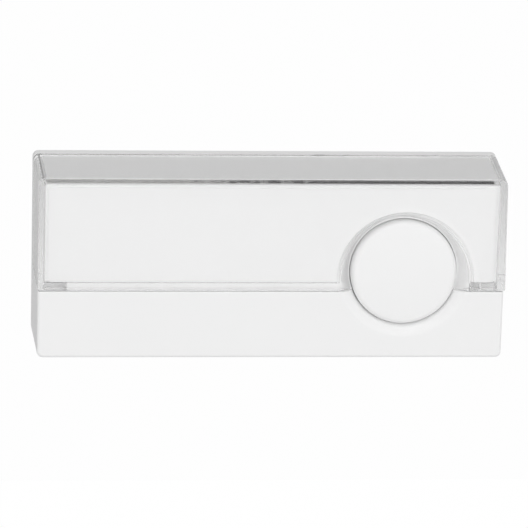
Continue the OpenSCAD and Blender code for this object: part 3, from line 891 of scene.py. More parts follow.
@dataclass(frozen=True)
class Layout:
    """Levels and places that several pieces share, in millimetres."""

    outline: Outline
    plate: float = 2.2
    shell: float = 1.6
    cover_height: float = 19.6
    cover_wall: float = 1.0
    cover_gap: float = 0.15
    cover_seat: float = 0.1
    window: float = 1.4
    card: float = 0.25
    card_play: float = 0.1
    card_margin: float = 0.15
    card_border: float = 0.6
    carrier_wall: float = 1.2
    lip: float = 1.1
    lip_gap: float = 0.1
    seam: float = 0.15
    hole_radius: float = 9.25
    dish_radius: float = 11.4
    arch_radius: float = 11.6
    arch_lean: tuple[float, float] = (0.3, -1.3)
    recess_depth: float = 0.2
    recess_rim: float = 0.2
    groove_depth: float = 0.35
    left_tongue: float = 3.4
    right_tongue: float = 3.8
    tongue_inset: float = 0.4
    tongue_length: float = 1.5
    tongue_room: float = 1.2
    tongue_gap: float = 0.15
    latch_gap: float = 0.15
    latch_width: float = 6.0
    latch_height: float = 6.0
    latch_thickness: float = 1.4
    hook_reach: float = 0.5
    hook_height: float = 1.0
    latch_level: float = -9.0
    contact_offset: float = 6.5
    terminal_reach: float = 19.7
    rivet_reach: float = 9.0
    strip_width: float = 4.4
    strip_thickness: float = 0.5
    strip_end: float = 2.8
    rail: float = 4.25
    tip_radius: float = 1.2
    tip_height: float = 0.5
    shank_gap: float = 0.05
    tip_shank: float = 0.6
    tip_face: float = 0.25
    tip_rim: float = 0.06
    screw_shank: float = 1.5
    rivet_shank: float = 1.0
    fastener_floor: float = 1.2
    seal_width: float = 0.64
    seal_thickness: float = 0.2
    seal_rise: float = 0.05
    seal_inset: float = 0.9
    entry_reach: float = 36.7

    @property
    def button_axis(self) -> Point:
        """Where the button's axis stands on the front.

        Returns:
            The place across and up.
        """
        low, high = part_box("button_cap")
        middle = (low + high) / 2 / MM
        return (round(middle.x, 3), round(middle.z, 3))

    @property
    def arch_axis(self) -> Point:
        """Where the middle of the arch's front circle stands."""
        return (self.button_axis[0] + self.arch_lean[0], self.button_axis[1] + self.arch_lean[1])

    @property
    def window_level(self) -> float:
        """Level of the window's inner face."""
        return self.outline.depth - self.window

    @property
    def carrier_level(self) -> float:
        """Level of the face that the card lies on."""
        return self.window_level - self.card_play - self.card

    @property
    def lip_level(self) -> float:
        """Level of the rear of the cover's lip."""
        return self.carrier_level + self.lip_gap

    @property
    def cover_low(self) -> float:
        """Lower edge of the cover."""
        return self.outline.height / 2 - self.cover_height

    @property
    def ledge(self) -> float:
        """Top of the housing's lower block."""
        return self.cover_low - self.seam

    @property
    def lip_top(self) -> float:
        """Upper edge of the cover's lip."""
        return self.cover_low + self.lip

    @property
    def carrier_inset(self) -> float:
        """How far the carrier is drawn in from the outline."""
        return self.cover_wall + self.cover_gap

    @property
    def tongue_end(self) -> float:
        """Distance of a tongue's outer end from the middle."""
        return self.outline.width / 2 - self.cover_wall - self.tongue_inset

    @property
    def entry_axis(self) -> Point:
        """Where the axis of the cable entry stands."""
        return (self.button_axis[0] - self.entry_reach, 0.0)

    @property
    def strip_top(self) -> float:
        """Level of the front of the contact strips."""
        return self.rail + self.strip_thickness

    def contact(self, side: int, reach: float = 0.0) -> Point:
        """A place on the upper (1) or lower (-1) strip's line, some way left of the button's axis."""
        x, y = self.button_axis
        return (x - reach, y + side * self.contact_offset)

    def at_tongues(self, draw: Callable[[float], Solid]) -> list[Solid]:
        """Shapes at the left and the right tongue, drawn from a tongue's width at the right end."""
        return [draw(self.left_tongue).mirrored(), draw(self.right_tongue)]

    def latch_face(self) -> float:
        """Distance of a latch post's outer face from the middle."""
        return self.outline.side(self.plate + self.latch_height) - self.shell - self.latch_gap

    def seal_strip(self, z: Span, clear: float = 0.0) -> Solid:
        """A strip where the black seal lies, behind the middle of the cover's top wall, painting the shade
        line seen through that wall.

        Args:
            z: Its rear and front levels.
            clear: How far it is grown on all sides.

        Returns:
            The strip.
        """
        reach = self.outline.side(self.plate) - self.seal_inset + clear
        middle = self.outline.top(self.plate) - self.cover_wall / 2
        half = self.seal_width / 2 + clear
        return Solid.box((-reach, reach), (middle - half, middle + half), z)


@dataclass
class Piece:
    """What an assembly of one piece has: a layout, a finish and the node that it stands for."""

    layout: Layout
    finish: Finish
    node: ClassVar[str]
    slot: ClassVar[str]
    make: ClassVar[Make] = Make.MOULDING
    body: ClassVar[str] = "base"

    def build(self) -> Solid:
        """Draws the piece."""
        raise NotImplementedError

    def dress(self) -> bpy.types.Object:
        """Makes the piece."""
        return self.build().place(self.node, self.make, self.finish, self.body, self.slot)


@dataclass
class BasePlate(Piece):
    """The plate on the wall, with rails, latches and a guide for the plunger."""

    node = "base_plate"
    slot = "white_housing"
    foot: float = 1.0
    rim_edge: float = 0.1
    screw_reach: float = 33.0
    screw_hole: float = 2.1
    rail_margin: float = 0.5
    guide_radius: float = 2.6
    guide_top: float = 4.6
    guide_bore: float = 1.55
    guide_floor: float = 1.5
    pocket: tuple[float, float, float] = (52.0, 6.0, 0.7)
    pocket_middle: float = 10.45
    pocket_corner: float = 0.8
    rib: tuple[float, float, float] = (50.0, 1.2, 3.0)
    hook_round: float = 0.4
    entry_radius: float = 4.0
    edge: float = 0.15

    def build(self) -> Solid:
        """The plate with all that stands on it.

        Returns:
            The solid.
        """
        plan = self.layout
        upright = runs_along(Axis.OUT, plan.plate / 2)
        plate = plan.outline.block((0.0, plan.plate)).round(plan.outline.corner, upright, 8)
        plate.round(self.rim_edge, at_level(Axis.OUT, plan.plate), 4)
        plate.round(self.rim_edge, at_level(Axis.OUT, 0.0), 3)
        plate.join(*self._rails(), *self._latches(), *self._ribs(), self._guide())
        floor = plan.plate + plan.seal_rise - plan.seal_thickness
        groove = plan.seal_strip((floor, plan.plate + OVER), plan.shank_gap)
        return plate.cut(*self._pockets(), *self._holes(), groove)

    def _rails(self) -> list[Solid]:
        """The two rails under the contact strips.

        Returns:
            The solids.
        """
        plan = self.layout
        reach = plan.terminal_reach + plan.strip_end + self.rail_margin
        wide = plan.strip_width / 2 + self.rail_margin
        rails = []
        for side in (-1, 1):
            x, y = plan.contact(side)
            ends = (x - reach, x + plan.strip_end + self.rail_margin)
            rail = Solid.box(ends, (y - wide, y + wide), (self.foot, plan.rail))
            rails.append(rail.round(self.edge, beyond(Axis.OUT, plan.plate)))
        return rails

    def _latches(self) -> list[Solid]:
        """The hooked posts at the two ends.

        Returns:
            The solids.
        """
        plan = self.layout
        face = plan.latch_face()
        top = plan.plate + plan.latch_height
        y = (plan.latch_level - plan.latch_width / 2, plan.latch_level + plan.latch_width / 2)
        post = Solid.box((face - plan.latch_thickness, face), y, (self.foot, top))
        end = face + plan.hook_reach
        hook = Solid.box((face - plan.latch_thickness / 2, end), y, (top - plan.hook_height, top))
        hook.round(self.hook_round, both(at_level(Axis.OUT, top), at_level(Axis.ACROSS, end)), 3)
        post.join(hook)
        return [post, post.mirrored()]

    def _ribs(self) -> list[Solid]:
        """The ribs that locate the housing.

        Returns:
            The solids.
        """
        plan = self.layout
        length, thick, rise = self.rib
        top = plan.plate + rise
        upper = plan.outline.top(top) - plan.carrier_inset - plan.carrier_wall - plan.latch_gap
        lower = plan.outline.top(top) - plan.shell - plan.latch_gap
        spans = ((upper - thick, upper), (-lower, thick - lower))
        ribs = [Solid.box((-length / 2, length / 2), y, (self.foot, top)) for y in spans]
        return [rib.round(self.edge, beyond(Axis.OUT, plan.plate)) for rib in ribs]

    def _guide(self) -> Solid:
        """The tube that guides the plunger's pin.

        Returns:
            The solid.
        """
        radius, foot, top = self.guide_radius, self.foot, self.guide_top
        tube = [(0, foot, 0), (radius, foot, 0), (radius, top, self.edge), (0, top, 0)]
        return Solid.turned(rounded(tube), self.layout.button_axis)

    def _pockets(self) -> list[Solid]:
        """The two shallow pockets in the back.

        Returns:
            The solids.
        """
        width, height, depth = self.pocket
        pockets = []
        for side in (-1, 1):
            middle = side * self.pocket_middle
            y = (middle - height / 2, middle + height / 2)
            pocket = Solid.box((-width / 2, width / 2), y, (-OVER, depth))
            pocket.round(self.pocket_corner, runs_along(Axis.OUT, depth / 2), 5)
            pockets.append(pocket.round(self.edge, at_level(Axis.OUT, depth), 3))
        return pockets

    def _holes(self) -> list[Solid]:
        """The bores for wall screws, cable, plunger and fasteners.

        Returns:
            The solids.
        """
        plan = self.layout
        holes = [Solid.disc(self.guide_bore, (self.guide_floor, self.guide_top + OVER), plan.button_axis)]
        through = [((side * self.screw_reach, 0.0), self.screw_hole) for side in (-1, 1)]
        through.append((plan.entry_axis, self.entry_radius))
        for centre, radius in through:
            wider = radius + self.edge + OVER
            profile = [
                (0, -OVER, 0), (wider, -OVER, 0), (radius, self.edge, 0),
                (radius, plan.plate - self.edge, 0), (wider, plan.plate + OVER, 0), (0, plan.plate + OVER, 0),
            ]
            holes.append(Solid.turned(rounded(profile), centre))
        span = (plan.fastener_floor, plan.rail + OVER)
        shanks = ((plan.screw_shank, plan.terminal_reach), (plan.rivet_shank, plan.rivet_reach))
        for side in (-1, 1):
            for radius, reach in shanks:
                place = plan.contact(side, reach)
                holes.append(Solid.disc(radius + plan.shank_gap, span, place, Turn.PIN))
        return holes


@dataclass
class Housing(Piece):
    """The white shell: a lower block, the card carrier above it and the button's tube."""

    node = "housing"
    slot = "white_housing"
    edge: float = 0.22
    front_edge: float = 0.5
    spare: float = 3.0
    carrier_corner: float = 0.5
    carrier_edge: float = 0.25
    tube_wall: float = 1.6
    tube_rear: float = 11.1
    dish_lead: float = 0.2
    step_width: float = 0.55
    step_depth: float = 0.5
    pry: tuple[float, float] = (8.0, 1.0)

    def build(self) -> Solid:
        """The whole shell.

        Returns:
            The solid.
        """
        body = self._lower_block().join(self._carrier())
        body.cut(*self._cavities())
        body.join(*self._tube(), *self._tongue_blocks())
        body.cut(self._button_way(), self._cover_recess(), self._side_step())
        return body.cut(*self._notches(), *self._latch_recesses(), self._pry_notch())

    def _side_step(self) -> Solid:
        """The low step along the right end of the carrier.

        Returns:
            The solid.
        """
        plan = self.layout
        side = plan.outline.width / 2
        inner = side - plan.carrier_inset - self.step_width
        floor = plan.carrier_level - self.step_depth
        return Solid.box((inner, side), (plan.lip_top, side), (floor, side))

    def _cover_recess(self) -> Solid:
        """The shallow recess behind the cover's arch and lip.

        Returns:
            The solid.
        """
        plan = self.layout
        z = (plan.carrier_level - plan.recess_depth, plan.outline.depth)
        reach = plan.outline.width / 2 - plan.carrier_inset - plan.carrier_wall
        recess = Solid.disc(plan.arch_radius - plan.recess_rim, z, plan.arch_axis, Turn.FRONT)
        recess.keep(Solid.box((-reach, reach), (plan.ledge, reach), (0, plan.outline.depth + CLEAR)))
        groove = (plan.carrier_level - plan.groove_depth, plan.outline.depth)
        return recess.join(Solid.box((-reach, reach), (plan.ledge, plan.lip_top), groove))

    def _lower_block(self) -> Solid:
        """The block below the cover, with rounded edges.

        Returns:
            The solid.
        """
        plan = self.layout
        outline = plan.outline
        side = outline.width / 2 + CLEAR
        block = outline.block((plan.plate, outline.depth), high=plan.ledge + self.spare)
        upright = runs_along(Axis.OUT, outline.depth / 2)
        block.round(outline.corner, lambda edge: upright(edge) and not beyond(Axis.UP, plan.ledge)(edge), 8)
        block.round(self.front_edge, at_level(Axis.OUT, outline.depth), 6)
        block.cut(Solid.box((-side, side), (plan.ledge, side), (0, outline.depth + CLEAR)))
        return block.round(self.edge, at_level(Axis.UP, plan.ledge), 4)

    def _carrier(self) -> Solid:
        """The recessed block that carries the card.

        Returns:
            The solid.
        """
        plan = self.layout
        block = plan.outline.block((plan.plate, plan.carrier_level), plan.carrier_inset)
        block.round(self.carrier_corner, runs_along(Axis.OUT, plan.plate), 4)
        return block.round(self.carrier_edge, at_level(Axis.OUT, plan.carrier_level), 4)

    def _cavities(self) -> list[Solid]:
        """The hollows behind the carrier and the lower block.

        Returns:
            The solids.
        """
        plan = self.layout
        rear = plan.plate - OVER
        wall, shell = plan.carrier_wall, plan.shell
        inner = plan.outline.block((rear, plan.carrier_level - wall), plan.carrier_inset + wall)
        lower = plan.outline.block((rear, plan.outline.depth - shell), shell, high=plan.ledge - shell)
        return [inner, lower]

    def _tube(self) -> list[Solid]:
        """The tube that guides the button, deeper where the lower block is.

        Returns:
            The solids.
        """
        plan = self.layout
        radius = plan.hole_radius + self.tube_wall
        upper = Solid.disc(radius, (self.tube_rear, plan.carrier_level - OVER), plan.button_axis)
        lower = Solid.disc(radius, (self.tube_rear, plan.outline.depth - plan.shell / 2), plan.button_axis)
        reach = plan.outline.width
        lower.keep(Solid.box((-reach, reach), (-reach, plan.ledge - OVER), (0, plan.outline.depth)))
        return [upper, lower]

    def _button_way(self) -> Solid:
        """The way for the button, with the rolled edge of the dish.

        Returns:
            The solid.
        """
        plan = self.layout
        radius = plan.dish_radius + self.dish_lead - plan.hole_radius
        level = plan.outline.depth - math.sqrt(radius**2 - self.dish_lead**2)
        meet = 180 - math.degrees(math.acos(self.dish_lead / radius))
        front = plan.outline.depth + CLEAR
        roll = arc((plan.dish_radius + self.dish_lead, level), radius, 180, meet, 14)
        profile = [(0, 0), (plan.hole_radius, 0), *roll, (plan.dish_radius, front), (0, front)]
        return Solid.turned(profile, plan.button_axis, Turn.FRONT)

    def _tongue_blocks(self) -> list[Solid]:
        """The solid ends that the tongues' notches are cut into.

        Returns:
            The solids.
        """
        plan = self.layout
        wall, gap = plan.carrier_wall, plan.tongue_gap
        outer = plan.outline.width / 2 - plan.carrier_inset - OVER
        y = (plan.ledge - wall, plan.lip_top + gap + wall)
        rear = plan.carrier_level - plan.tongue_length - plan.tongue_room - wall
        z = (rear, plan.carrier_level - OVER)
        return plan.at_tongues(lambda width: Solid.box((plan.tongue_end - width - gap - wall, outer), y, z))

    def _notches(self) -> list[Solid]:
        """The notches for the tongues.

        Returns:
            The solids.
        """
        plan = self.layout
        gap, outer = plan.tongue_gap, plan.outline.width / 2
        y = (plan.ledge, plan.lip_top + gap)
        floor = plan.carrier_level - plan.tongue_length - plan.tongue_room
        z = (floor, plan.outline.depth + OVER)
        return plan.at_tongues(lambda width: Solid.box((plan.tongue_end - width - gap, outer), y, z))

    def _latch_recesses(self) -> list[Solid]:
        """The recesses that the latch hooks catch in.

        Returns:
            The solids.
        """
        plan = self.layout
        face = plan.latch_face()
        top = plan.plate + plan.latch_height
        half = plan.latch_width / 2 + plan.latch_gap
        recess = Solid.box(
            (face - plan.latch_thickness, face + plan.hook_reach + plan.latch_gap),
            (plan.latch_level - half, plan.latch_level + half),
            (top - plan.hook_height - plan.latch_gap, top + plan.latch_gap),
        )
        return [recess, recess.mirrored()]

    def _pry_notch(self) -> Solid:
        """The notch at the lower rear edge for prying the housing off.

        Returns:
            The solid.
        """
        plan = self.layout
        width, rise = self.pry
        y = (-plan.outline.height, -plan.outline.height / 4)
        return Solid.box((-width / 2, width / 2), y, (plan.plate - OVER, plan.plate + rise))


@dataclass
class NameCover(Piece):
    """The clear cover with its window, walls, arch, lip and tongues."""

    node = "name_cover"
    slot = "clear_cover"
    body = "cover"
    edge: float = 0.22
    inner_corner: float = 0.5
    inner_edge: float = 0.3
    arch_gap: float = 0.35
    arch_edge: float = 0.18
    arch_slope: float = 0.02
    flare: float = 0.3
    slit_inset: float = 1.0
    slit_width: float = 0.4

    @property
    def rear(self) -> float:
        """Level of the cover's rear edge."""
        return self.layout.plate + self.layout.cover_seat

    def build(self) -> Solid:
        """The whole cover as one closed clear solid.

        Returns:
            The solid.
        """
        cover = self._outer()
        cover.cut(self._upper_hollow(), self._lower_hollow())
        return cover.cut(self._arch(), self._slit())

    def _outer(self) -> Solid:
        """The cover without its hollows, with rounded edges.

        Returns:
            The solid.
        """
        plan = self.layout
        outline = plan.outline
        block = outline.block((self.rear, outline.depth), low=plan.cover_low)
        for vert in block.mesh.verts:
            if vert.co.x > 0 and vert.co.y < 0:
                vert.co.x = max(vert.co.x, outline.width / 2 + self.flare)
        upright = runs_along(Axis.OUT, outline.depth / 2)
        block.round(outline.corner, both(upright, beyond(Axis.UP, 0.0)), 8)
        low = both(at_level(Axis.UP, plan.cover_low), beyond(Axis.OUT, self.rear))
        return block.round(self.edge, either(at_level(Axis.OUT, outline.depth), low), 4)

    def _upper_hollow(self) -> Solid:
        """The space behind the window, with the low wall round the dish left standing.

        Returns:
            The solid.
        """
        plan = self.layout
        hollow = plan.outline.block((self.rear - OVER, plan.window_level), plan.cover_wall, low=plan.lip_top)
        hollow.round(self.inner_corner, both(runs_along(Axis.OUT, plan.plate), beyond(Axis.UP, 0.0)), 4)
        hollow.round(self.inner_edge, at_level(Axis.OUT, plan.window_level), 4)
        wall = plan.arch_radius + plan.card_margin
        span = (plan.lip_level, plan.outline.depth)
        return hollow.cut(Solid.disc(wall, span, plan.arch_axis, Turn.FRONT))

    def _lower_hollow(self) -> Solid:
        """The space behind the lip, with the tongues left standing.

        Returns:
            The solid.
        """
        plan = self.layout
        span = (self.rear - OVER, plan.lip_level)
        low, high = -plan.outline.height, plan.lip_top + OVER
        hollow = plan.outline.block(span, plan.cover_wall, low, high)
        outer, y = plan.tongue_end, (plan.cover_low - OVER, plan.lip_top)
        z = (plan.carrier_level - plan.tongue_length, plan.outline.depth)
        return hollow.cut(*plan.at_tongues(lambda width: Solid.box((outer - width, outer), y, z)))

    def _arch(self) -> Solid:
        """The flared way round the button.

        Returns:
            The solid.
        """
        plan = self.layout
        front = plan.outline.depth
        throat, rear = plan.hole_radius + self.arch_gap, plan.lip_level
        radius = plan.arch_radius
        profile = [
            (0, rear - OVER, 0), (throat, rear - OVER, 0), (throat, rear, 0),
            (radius, front, self.arch_edge), (radius + CLEAR, front + self.arch_slope, 0),
            (radius + CLEAR, front + CLEAR, 0), (0, front + CLEAR, 0),
        ]
        way = Solid.turned(rounded(profile), plan.button_axis, Turn.FRONT)
        return way.lean(plan.arch_lean, (rear, front))

    def _slit(self) -> Solid:
        """The slit that splits the right tongue.

        Returns:
            The solid.
        """
        plan = self.layout
        left = plan.tongue_end - plan.right_tongue + self.slit_inset
        return Solid.box(
            (left, left + self.slit_width), (plan.cover_low - OVER, plan.lip_top + OVER),
            (plan.carrier_level - plan.tongue_length - OVER, plan.lip_level),
        )


@dataclass
class NameCard(Piece):
    """The blank card behind the window."""

    node = "name_card"
    slot = "card"
    make = Make.CARD
    corner: float = 0.8
    edge: float = 0.04

    def build(self) -> Solid:
        """The card with rounded corners and the arch cut out.

        Returns:
            The solid.
        """
        plan = self.layout
        margin = plan.carrier_inset + plan.card_border
        side = plan.outline.width / 2 - margin
        y = (plan.lip_top + plan.card_margin, plan.outline.height / 2 - margin)
        front = plan.carrier_level + plan.card
        card = Solid.box((-side, side), y, (plan.carrier_level, front))
        card.round(self.corner, runs_along(Axis.OUT, plan.card / 2), 8)
        card.round(self.edge, at_level(Axis.OUT, front), 2)
        hole = plan.arch_radius + 2 * plan.card_margin
        span = (plan.carrier_level - OVER, front + OVER)
        return card.cut(Solid.disc(hole, span, plan.arch_axis, Turn.FRONT))


@dataclass
class Button:
    """The button and all that moves with it."""

    layout: Layout
    finishes: Finishes
    radius: float = 9.16
    crown: float = 18.4
    dome: float = 0.25
    edge: float = 1.0
    wall: float = 1.3
    ceiling: float = 16.55
    flange: tuple[float, float, float] = (10.1, 9.8, 11.0)
    socket_rear: float = 12.75
    socket_bore: float = 2.05
    socket_wall: float = 1.2
    soft: float = 0.2
    pin: tuple[float, float] = (1.5, 3.2)
    stem: tuple[float, float] = (2.0, 6.3)
    neck: tuple[float, float] = (2.6, 7.8)
    shoulder: tuple[float, float] = (4.0, 11.55)
    stem_top: float = 16.5
    bridge: tuple[float, float] = (7.4, 7.8)
    bridge_width: float = 5.0
    bridge_margin: float = 0.5
    bridge_corner: float = 0.8
    bridge_edge: float = 0.08
    clip: tuple[float, float, float] = (3.7, 6.9, 7.4)
    clip_edge: float = 0.1
    clip_cut: float = 0.5
    tip_level: float = 6.9
    shank_edge: float = 0.1

    def cap(self) -> Solid:
        """The button with its crown, flange and socket.

        Returns:
            The solid.
        """
        crown_radius = self.radius - self.edge
        sphere = (crown_radius**2 + self.dome**2) / (2 * self.dome)
        tilt = math.degrees(math.asin(crown_radius / sphere))
        crown = arc((0, self.crown - sphere), sphere, 90, 90 - tilt, 12)
        roll = arc((crown_radius, self.crown - self.dome - self.edge), self.edge, 90 - tilt, 0, 12)
        wide, rear, front = self.flange
        inner = self.radius - self.wall
        bore, outer = self.socket_bore, self.socket_bore + self.socket_wall
        soft, top, low = self.soft, self.ceiling, self.socket_rear
        rest = rounded([
            (self.radius, front, 0), (wide, front, soft), (wide, rear, soft), (inner, rear, soft),
            (inner, top, soft), (outer, top, soft), (outer, low, soft), (bore, low, soft),
            (bore, top, 0), (0, top, 0),
        ], 4)
        return Solid.turned([*crown, *roll[1:], *rest], self.layout.button_axis, Turn.FRONT)

    def plunger(self) -> Solid:
        """The stepped plunger.

        Returns:
            The solid.
        """
        soft, socket, top = self.soft, self.socket_rear, self.stem_top
        pin, stem, neck, shoulder = self.pin, self.stem, self.neck, self.shoulder
        return Solid.turned(rounded([
            (0, pin[1], 0), (pin[0], pin[1], soft * 2), (pin[0], stem[1], 0), (stem[0], stem[1], soft),
            (stem[0], neck[1], 0), (neck[0], neck[1], soft), (neck[0], shoulder[1], soft),
            (shoulder[0], shoulder[1], soft), (shoulder[0], socket, soft), (stem[0], socket, 0),
            (stem[0], top, soft), (0, top, 0),
        ], 4), self.layout.button_axis, Turn.STEM)

    def contact_bridge(self) -> Solid:
        """The sprung plate that joins the two contacts.

        Returns:
            The solid.
        """
        plan = self.layout
        x, y = plan.button_axis
        rear, front = self.bridge
        reach = plan.contact_offset + plan.tip_radius + self.bridge_margin
        half = self.bridge_width / 2
        plate = Solid.box((x - half, x + half), (y - reach, y + reach), self.bridge)
        plate.round(self.bridge_corner, runs_along(Axis.OUT, (front - rear) / 2), 6)
        for level in (front, rear):
            plate.round(self.bridge_edge, at_level(Axis.OUT, level), 2)
        span = (rear - OVER, front + OVER)
        plate.cut(Solid.disc(self.stem[0] + plan.shank_gap, span, (x, y), Turn.STEM))
        hole = plan.tip_shank + plan.shank_gap
        return plate.cut(*(Solid.disc(hole, span, plan.contact(side), Turn.WIRE) for side in (-1, 1)))

    def bridge_clip(self) -> Solid:
        """The cut spring washer that holds the bridge.

        Returns:
            The solid.
        """
        radius, rear, front = self.clip
        bore, edge = self.stem[0] + self.layout.shank_gap, self.clip_edge
        ring = [(bore, rear, 0), (radius, rear, edge), (radius, front, edge), (bore, front, 0)]
        washer = Solid.turned(rounded(ring, 3), self.layout.button_axis, Turn.RING)
        x, y = self.layout.button_axis
        reach = (radius + self.stem[0]) / 2
        half = self.clip_cut / 2
        for turn in (0, 120, 240):
            slot = Solid.box((x, x + reach), (y - half, y + half), (rear - OVER, front + OVER))
            washer.cut(slot.turn(turn, Axis.OUT, (x, y)))
        return washer

    def tip(self, side: int) -> Solid:
        """A contact tip riveted into the bridge.

        Args:
            side: One for the upper tip, minus one for the lower.

        Returns:
            The solid.
        """
        plan = self.layout
        radius, shank, face = plan.tip_radius, plan.tip_shank, self.tip_level
        rear, front = self.bridge
        return Solid.turned(rounded([
            (0, face, 0), (radius, face, plan.tip_face), (radius, rear, plan.tip_rim),
            (shank, rear, 0), (shank, front, self.shank_edge), (0, front, 0),
        ], 4), plan.contact(side), Turn.PIN)

    def dress(self) -> None:
        """Makes the pieces."""
        looks = self.finishes
        self.cap().place("button_cap", Make.MOULDING, looks.button, "button", "white_button")
        self.plunger().place("plunger", Make.MOULDING, looks.natural, "button", "natural_plastic")
        self.contact_bridge().place("contact_bridge", Make.STAMPING, looks.brass, "button", "brass")
        self.bridge_clip().place("bridge_clip", Make.STAMPING, looks.spring, "button", "spring_steel")
        for side, name in ((1, "bridge_tip_upper"), (-1, "bridge_tip_lower")):
            self.tip(side).place(name, Make.TURNING, looks.silver, "button", "contact_silver")


@dataclass
class Contacts:
    """The fixed contact strips with their tips, rivets, screws and wire clamps."""

    layout: Layout
    finishes: Finishes
    strip_corner: float = 0.8
    strip_edge: float = 0.08
    head_radius: float = 2.75
    head_height: float = 2.0
    head_edge: float = 0.55
    head_rim: float = 0.12
    plain_shank: float = 1.0
    slot: tuple[float, float] = (0.8, 1.0)
    slot_turn: float = 20.0
    clamp_side: float = 6.2
    clamp_thickness: float = 1.0
    clamp_corner: float = 0.5
    clamp_edge: float = 0.15
    groove: float = 0.6
    thread_pitch: float = 0.5
    thread_depth: float = 0.25
    rivet_head: tuple[float, float] = (1.7, 0.6)
    rivet_edges: tuple[float, float, float] = (0.15, 0.05, 0.45)
    shank_edge: float = 0.08

    def strip(self, side: int) -> Solid:
        """A contact strip with its holes.

        Args:
            side: One for the upper strip, minus one for the lower.

        Returns:
            The solid.
        """
        plan = self.layout
        x, y = plan.contact(side)
        z = (plan.rail, plan.strip_top)
        end, half = plan.strip_end, plan.strip_width / 2
        strip = Solid.box((x - plan.terminal_reach - end, x + end), (y - half, y + half), z)
        strip.round(self.strip_corner, runs_along(Axis.OUT, plan.strip_thickness / 2), 6)
        for level in z:
            strip.round(self.strip_edge, at_level(Axis.OUT, level), 2)
        span = (z[0] - OVER, z[1] + OVER)
        reaches = (0.0, plan.rivet_reach, plan.terminal_reach)
        shanks = (plan.tip_shank, plan.rivet_shank, plan.screw_shank)
        for reach, radius in zip(reaches, shanks):
            place = plan.contact(side, reach)
            strip.cut(Solid.disc(radius + plan.shank_gap, span, place, Turn.PIN))
        return strip

    def tip(self, side: int) -> Solid:
        """A contact tip riveted into its strip.

        Args:
            side: One for the upper tip, minus one for the lower.

        Returns:
            The solid.
        """
        plan = self.layout
        radius, shank = plan.tip_radius, plan.tip_shank
        foot, seat = plan.rail, plan.strip_top
        top = seat + plan.tip_height
        return Solid.turned(rounded([
            (0, foot, 0), (shank, foot, self.shank_edge), (shank, seat, 0),
            (radius, seat, plan.tip_rim), (radius, top, plan.tip_face), (0, top, 0),
        ], 4), plan.contact(side), Turn.PIN)

    def screw(self, side: int) -> Solid:
        """A slotted terminal screw with a threaded shank.

        Args:
            side: One for the upper screw, minus one for the lower.

        Returns:
            The solid.
        """
        plan = self.layout
        seat = plan.strip_top + self.clamp_thickness
        top = seat + self.head_height
        foot = plan.fastener_floor + plan.shank_gap
        turns = int((seat - self.plain_shank - foot) / self.thread_pitch)
        core = plan.screw_shank - self.thread_depth
        thread: list[Corner] = [(0, foot, 0), (core, foot, 0)]
        for i in range(turns):
            low = foot + i * self.thread_pitch
            thread += [(plan.screw_shank, low + self.thread_pitch / 2, 0), (core, low + self.thread_pitch, 0)]
        head = [
            (plan.screw_shank, foot + (turns + 0.5) * self.thread_pitch, 0), (plan.screw_shank, seat, 0),
            (self.head_radius, seat, self.head_rim), (self.head_radius, top, self.head_edge), (0, top, 0),
        ]
        centre = plan.contact(side, plan.terminal_reach)
        screw = Solid.turned(rounded([*thread, *head]), centre, Turn.STEM)
        width, depth = self.slot
        reach = self.head_radius * 2
        slot = Solid.box(
            (centre[0] - reach, centre[0] + reach), (centre[1] - width / 2, centre[1] + width / 2),
            (top - depth, top + OVER),
        )
        return screw.cut(slot.turn(self.slot_turn * side, Axis.OUT, centre))

    def clamp(self, side: int) -> Solid:
        """A square wire clamp with two grooves under it.

        Args:
            side: One for the upper clamp, minus one for the lower.

        Returns:
            The solid.
        """
        plan = self.layout
        x, y = plan.contact(side, plan.terminal_reach)
        z = (plan.strip_top, plan.strip_top + self.clamp_thickness)
        half = self.clamp_side / 2
        clamp = Solid.box((x - half, x + half), (y - half, y + half), z)
        clamp.round(self.clamp_corner, runs_along(Axis.OUT, self.clamp_thickness / 2), 4)
        clamp.round(self.clamp_edge, at_level(Axis.OUT, z[1]), 3)
        span = (z[0] - OVER, z[1] + OVER)
        clamp.cut(Solid.disc(plan.screw_shank + plan.shank_gap, span, (x, y), Turn.PIN))
        for way in (-1, 1):
            middle = x + way * (plan.screw_shank + half) / 2
            wire = Solid.disc(self.groove, (-self.clamp_side, self.clamp_side), steps=Turn.WIRE)
            wire.turn(90, Axis.ACROSS, (0.0, 0.0))
            bmesh.ops.translate(wire.mesh, vec=(middle, y, z[0]), verts=wire.mesh.verts)
            clamp.cut(wire)
        return clamp

    def rivets(self) -> Solid:
        """The two rivets that hold the strips on their rails.

        Returns:
            Both rivets as one solid of two shells.
        """
        plan = self.layout
        foot = plan.fastener_floor + plan.shank_gap
        radius, height = self.rivet_head
        foot_edge, rim_edge, top_edge = self.rivet_edges
        shank, seat = plan.rivet_shank, plan.strip_top
        top = seat + height
        profile = rounded([
            (0, foot, 0), (shank, foot, foot_edge), (shank, seat, 0),
            (radius, seat, rim_edge), (radius, top, top_edge), (0, top, 0),
        ])
        places = (plan.contact(side, plan.rivet_reach) for side in (-1, 1))
        lower, upper = (Solid.turned(profile, place, Turn.PIN) for place in places)
        return lower.add(upper)

    def dress(self) -> None:
        """Makes the pieces."""
        looks = self.finishes
        for side, name in ((1, "upper"), (-1, "lower")):
            self.strip(side).place(f"contact_strip_{name}", Make.STAMPING, looks.brass, "base", "brass")
            self.tip(side).place(f"contact_tip_{name}", Make.TURNING, looks.silver, "base", "contact_silver")
            self.screw(side).place(f"terminal_screw_{name}", Make.TURNING, looks.screw, "base", "screw_steel")
            self.clamp(side).place(f"wire_clamp_{name}", Make.STAMPING, looks.screw, "base", "screw_steel")
        self.rivets().place("strip_rivets", Make.TURNING, looks.brass, "base", "brass")


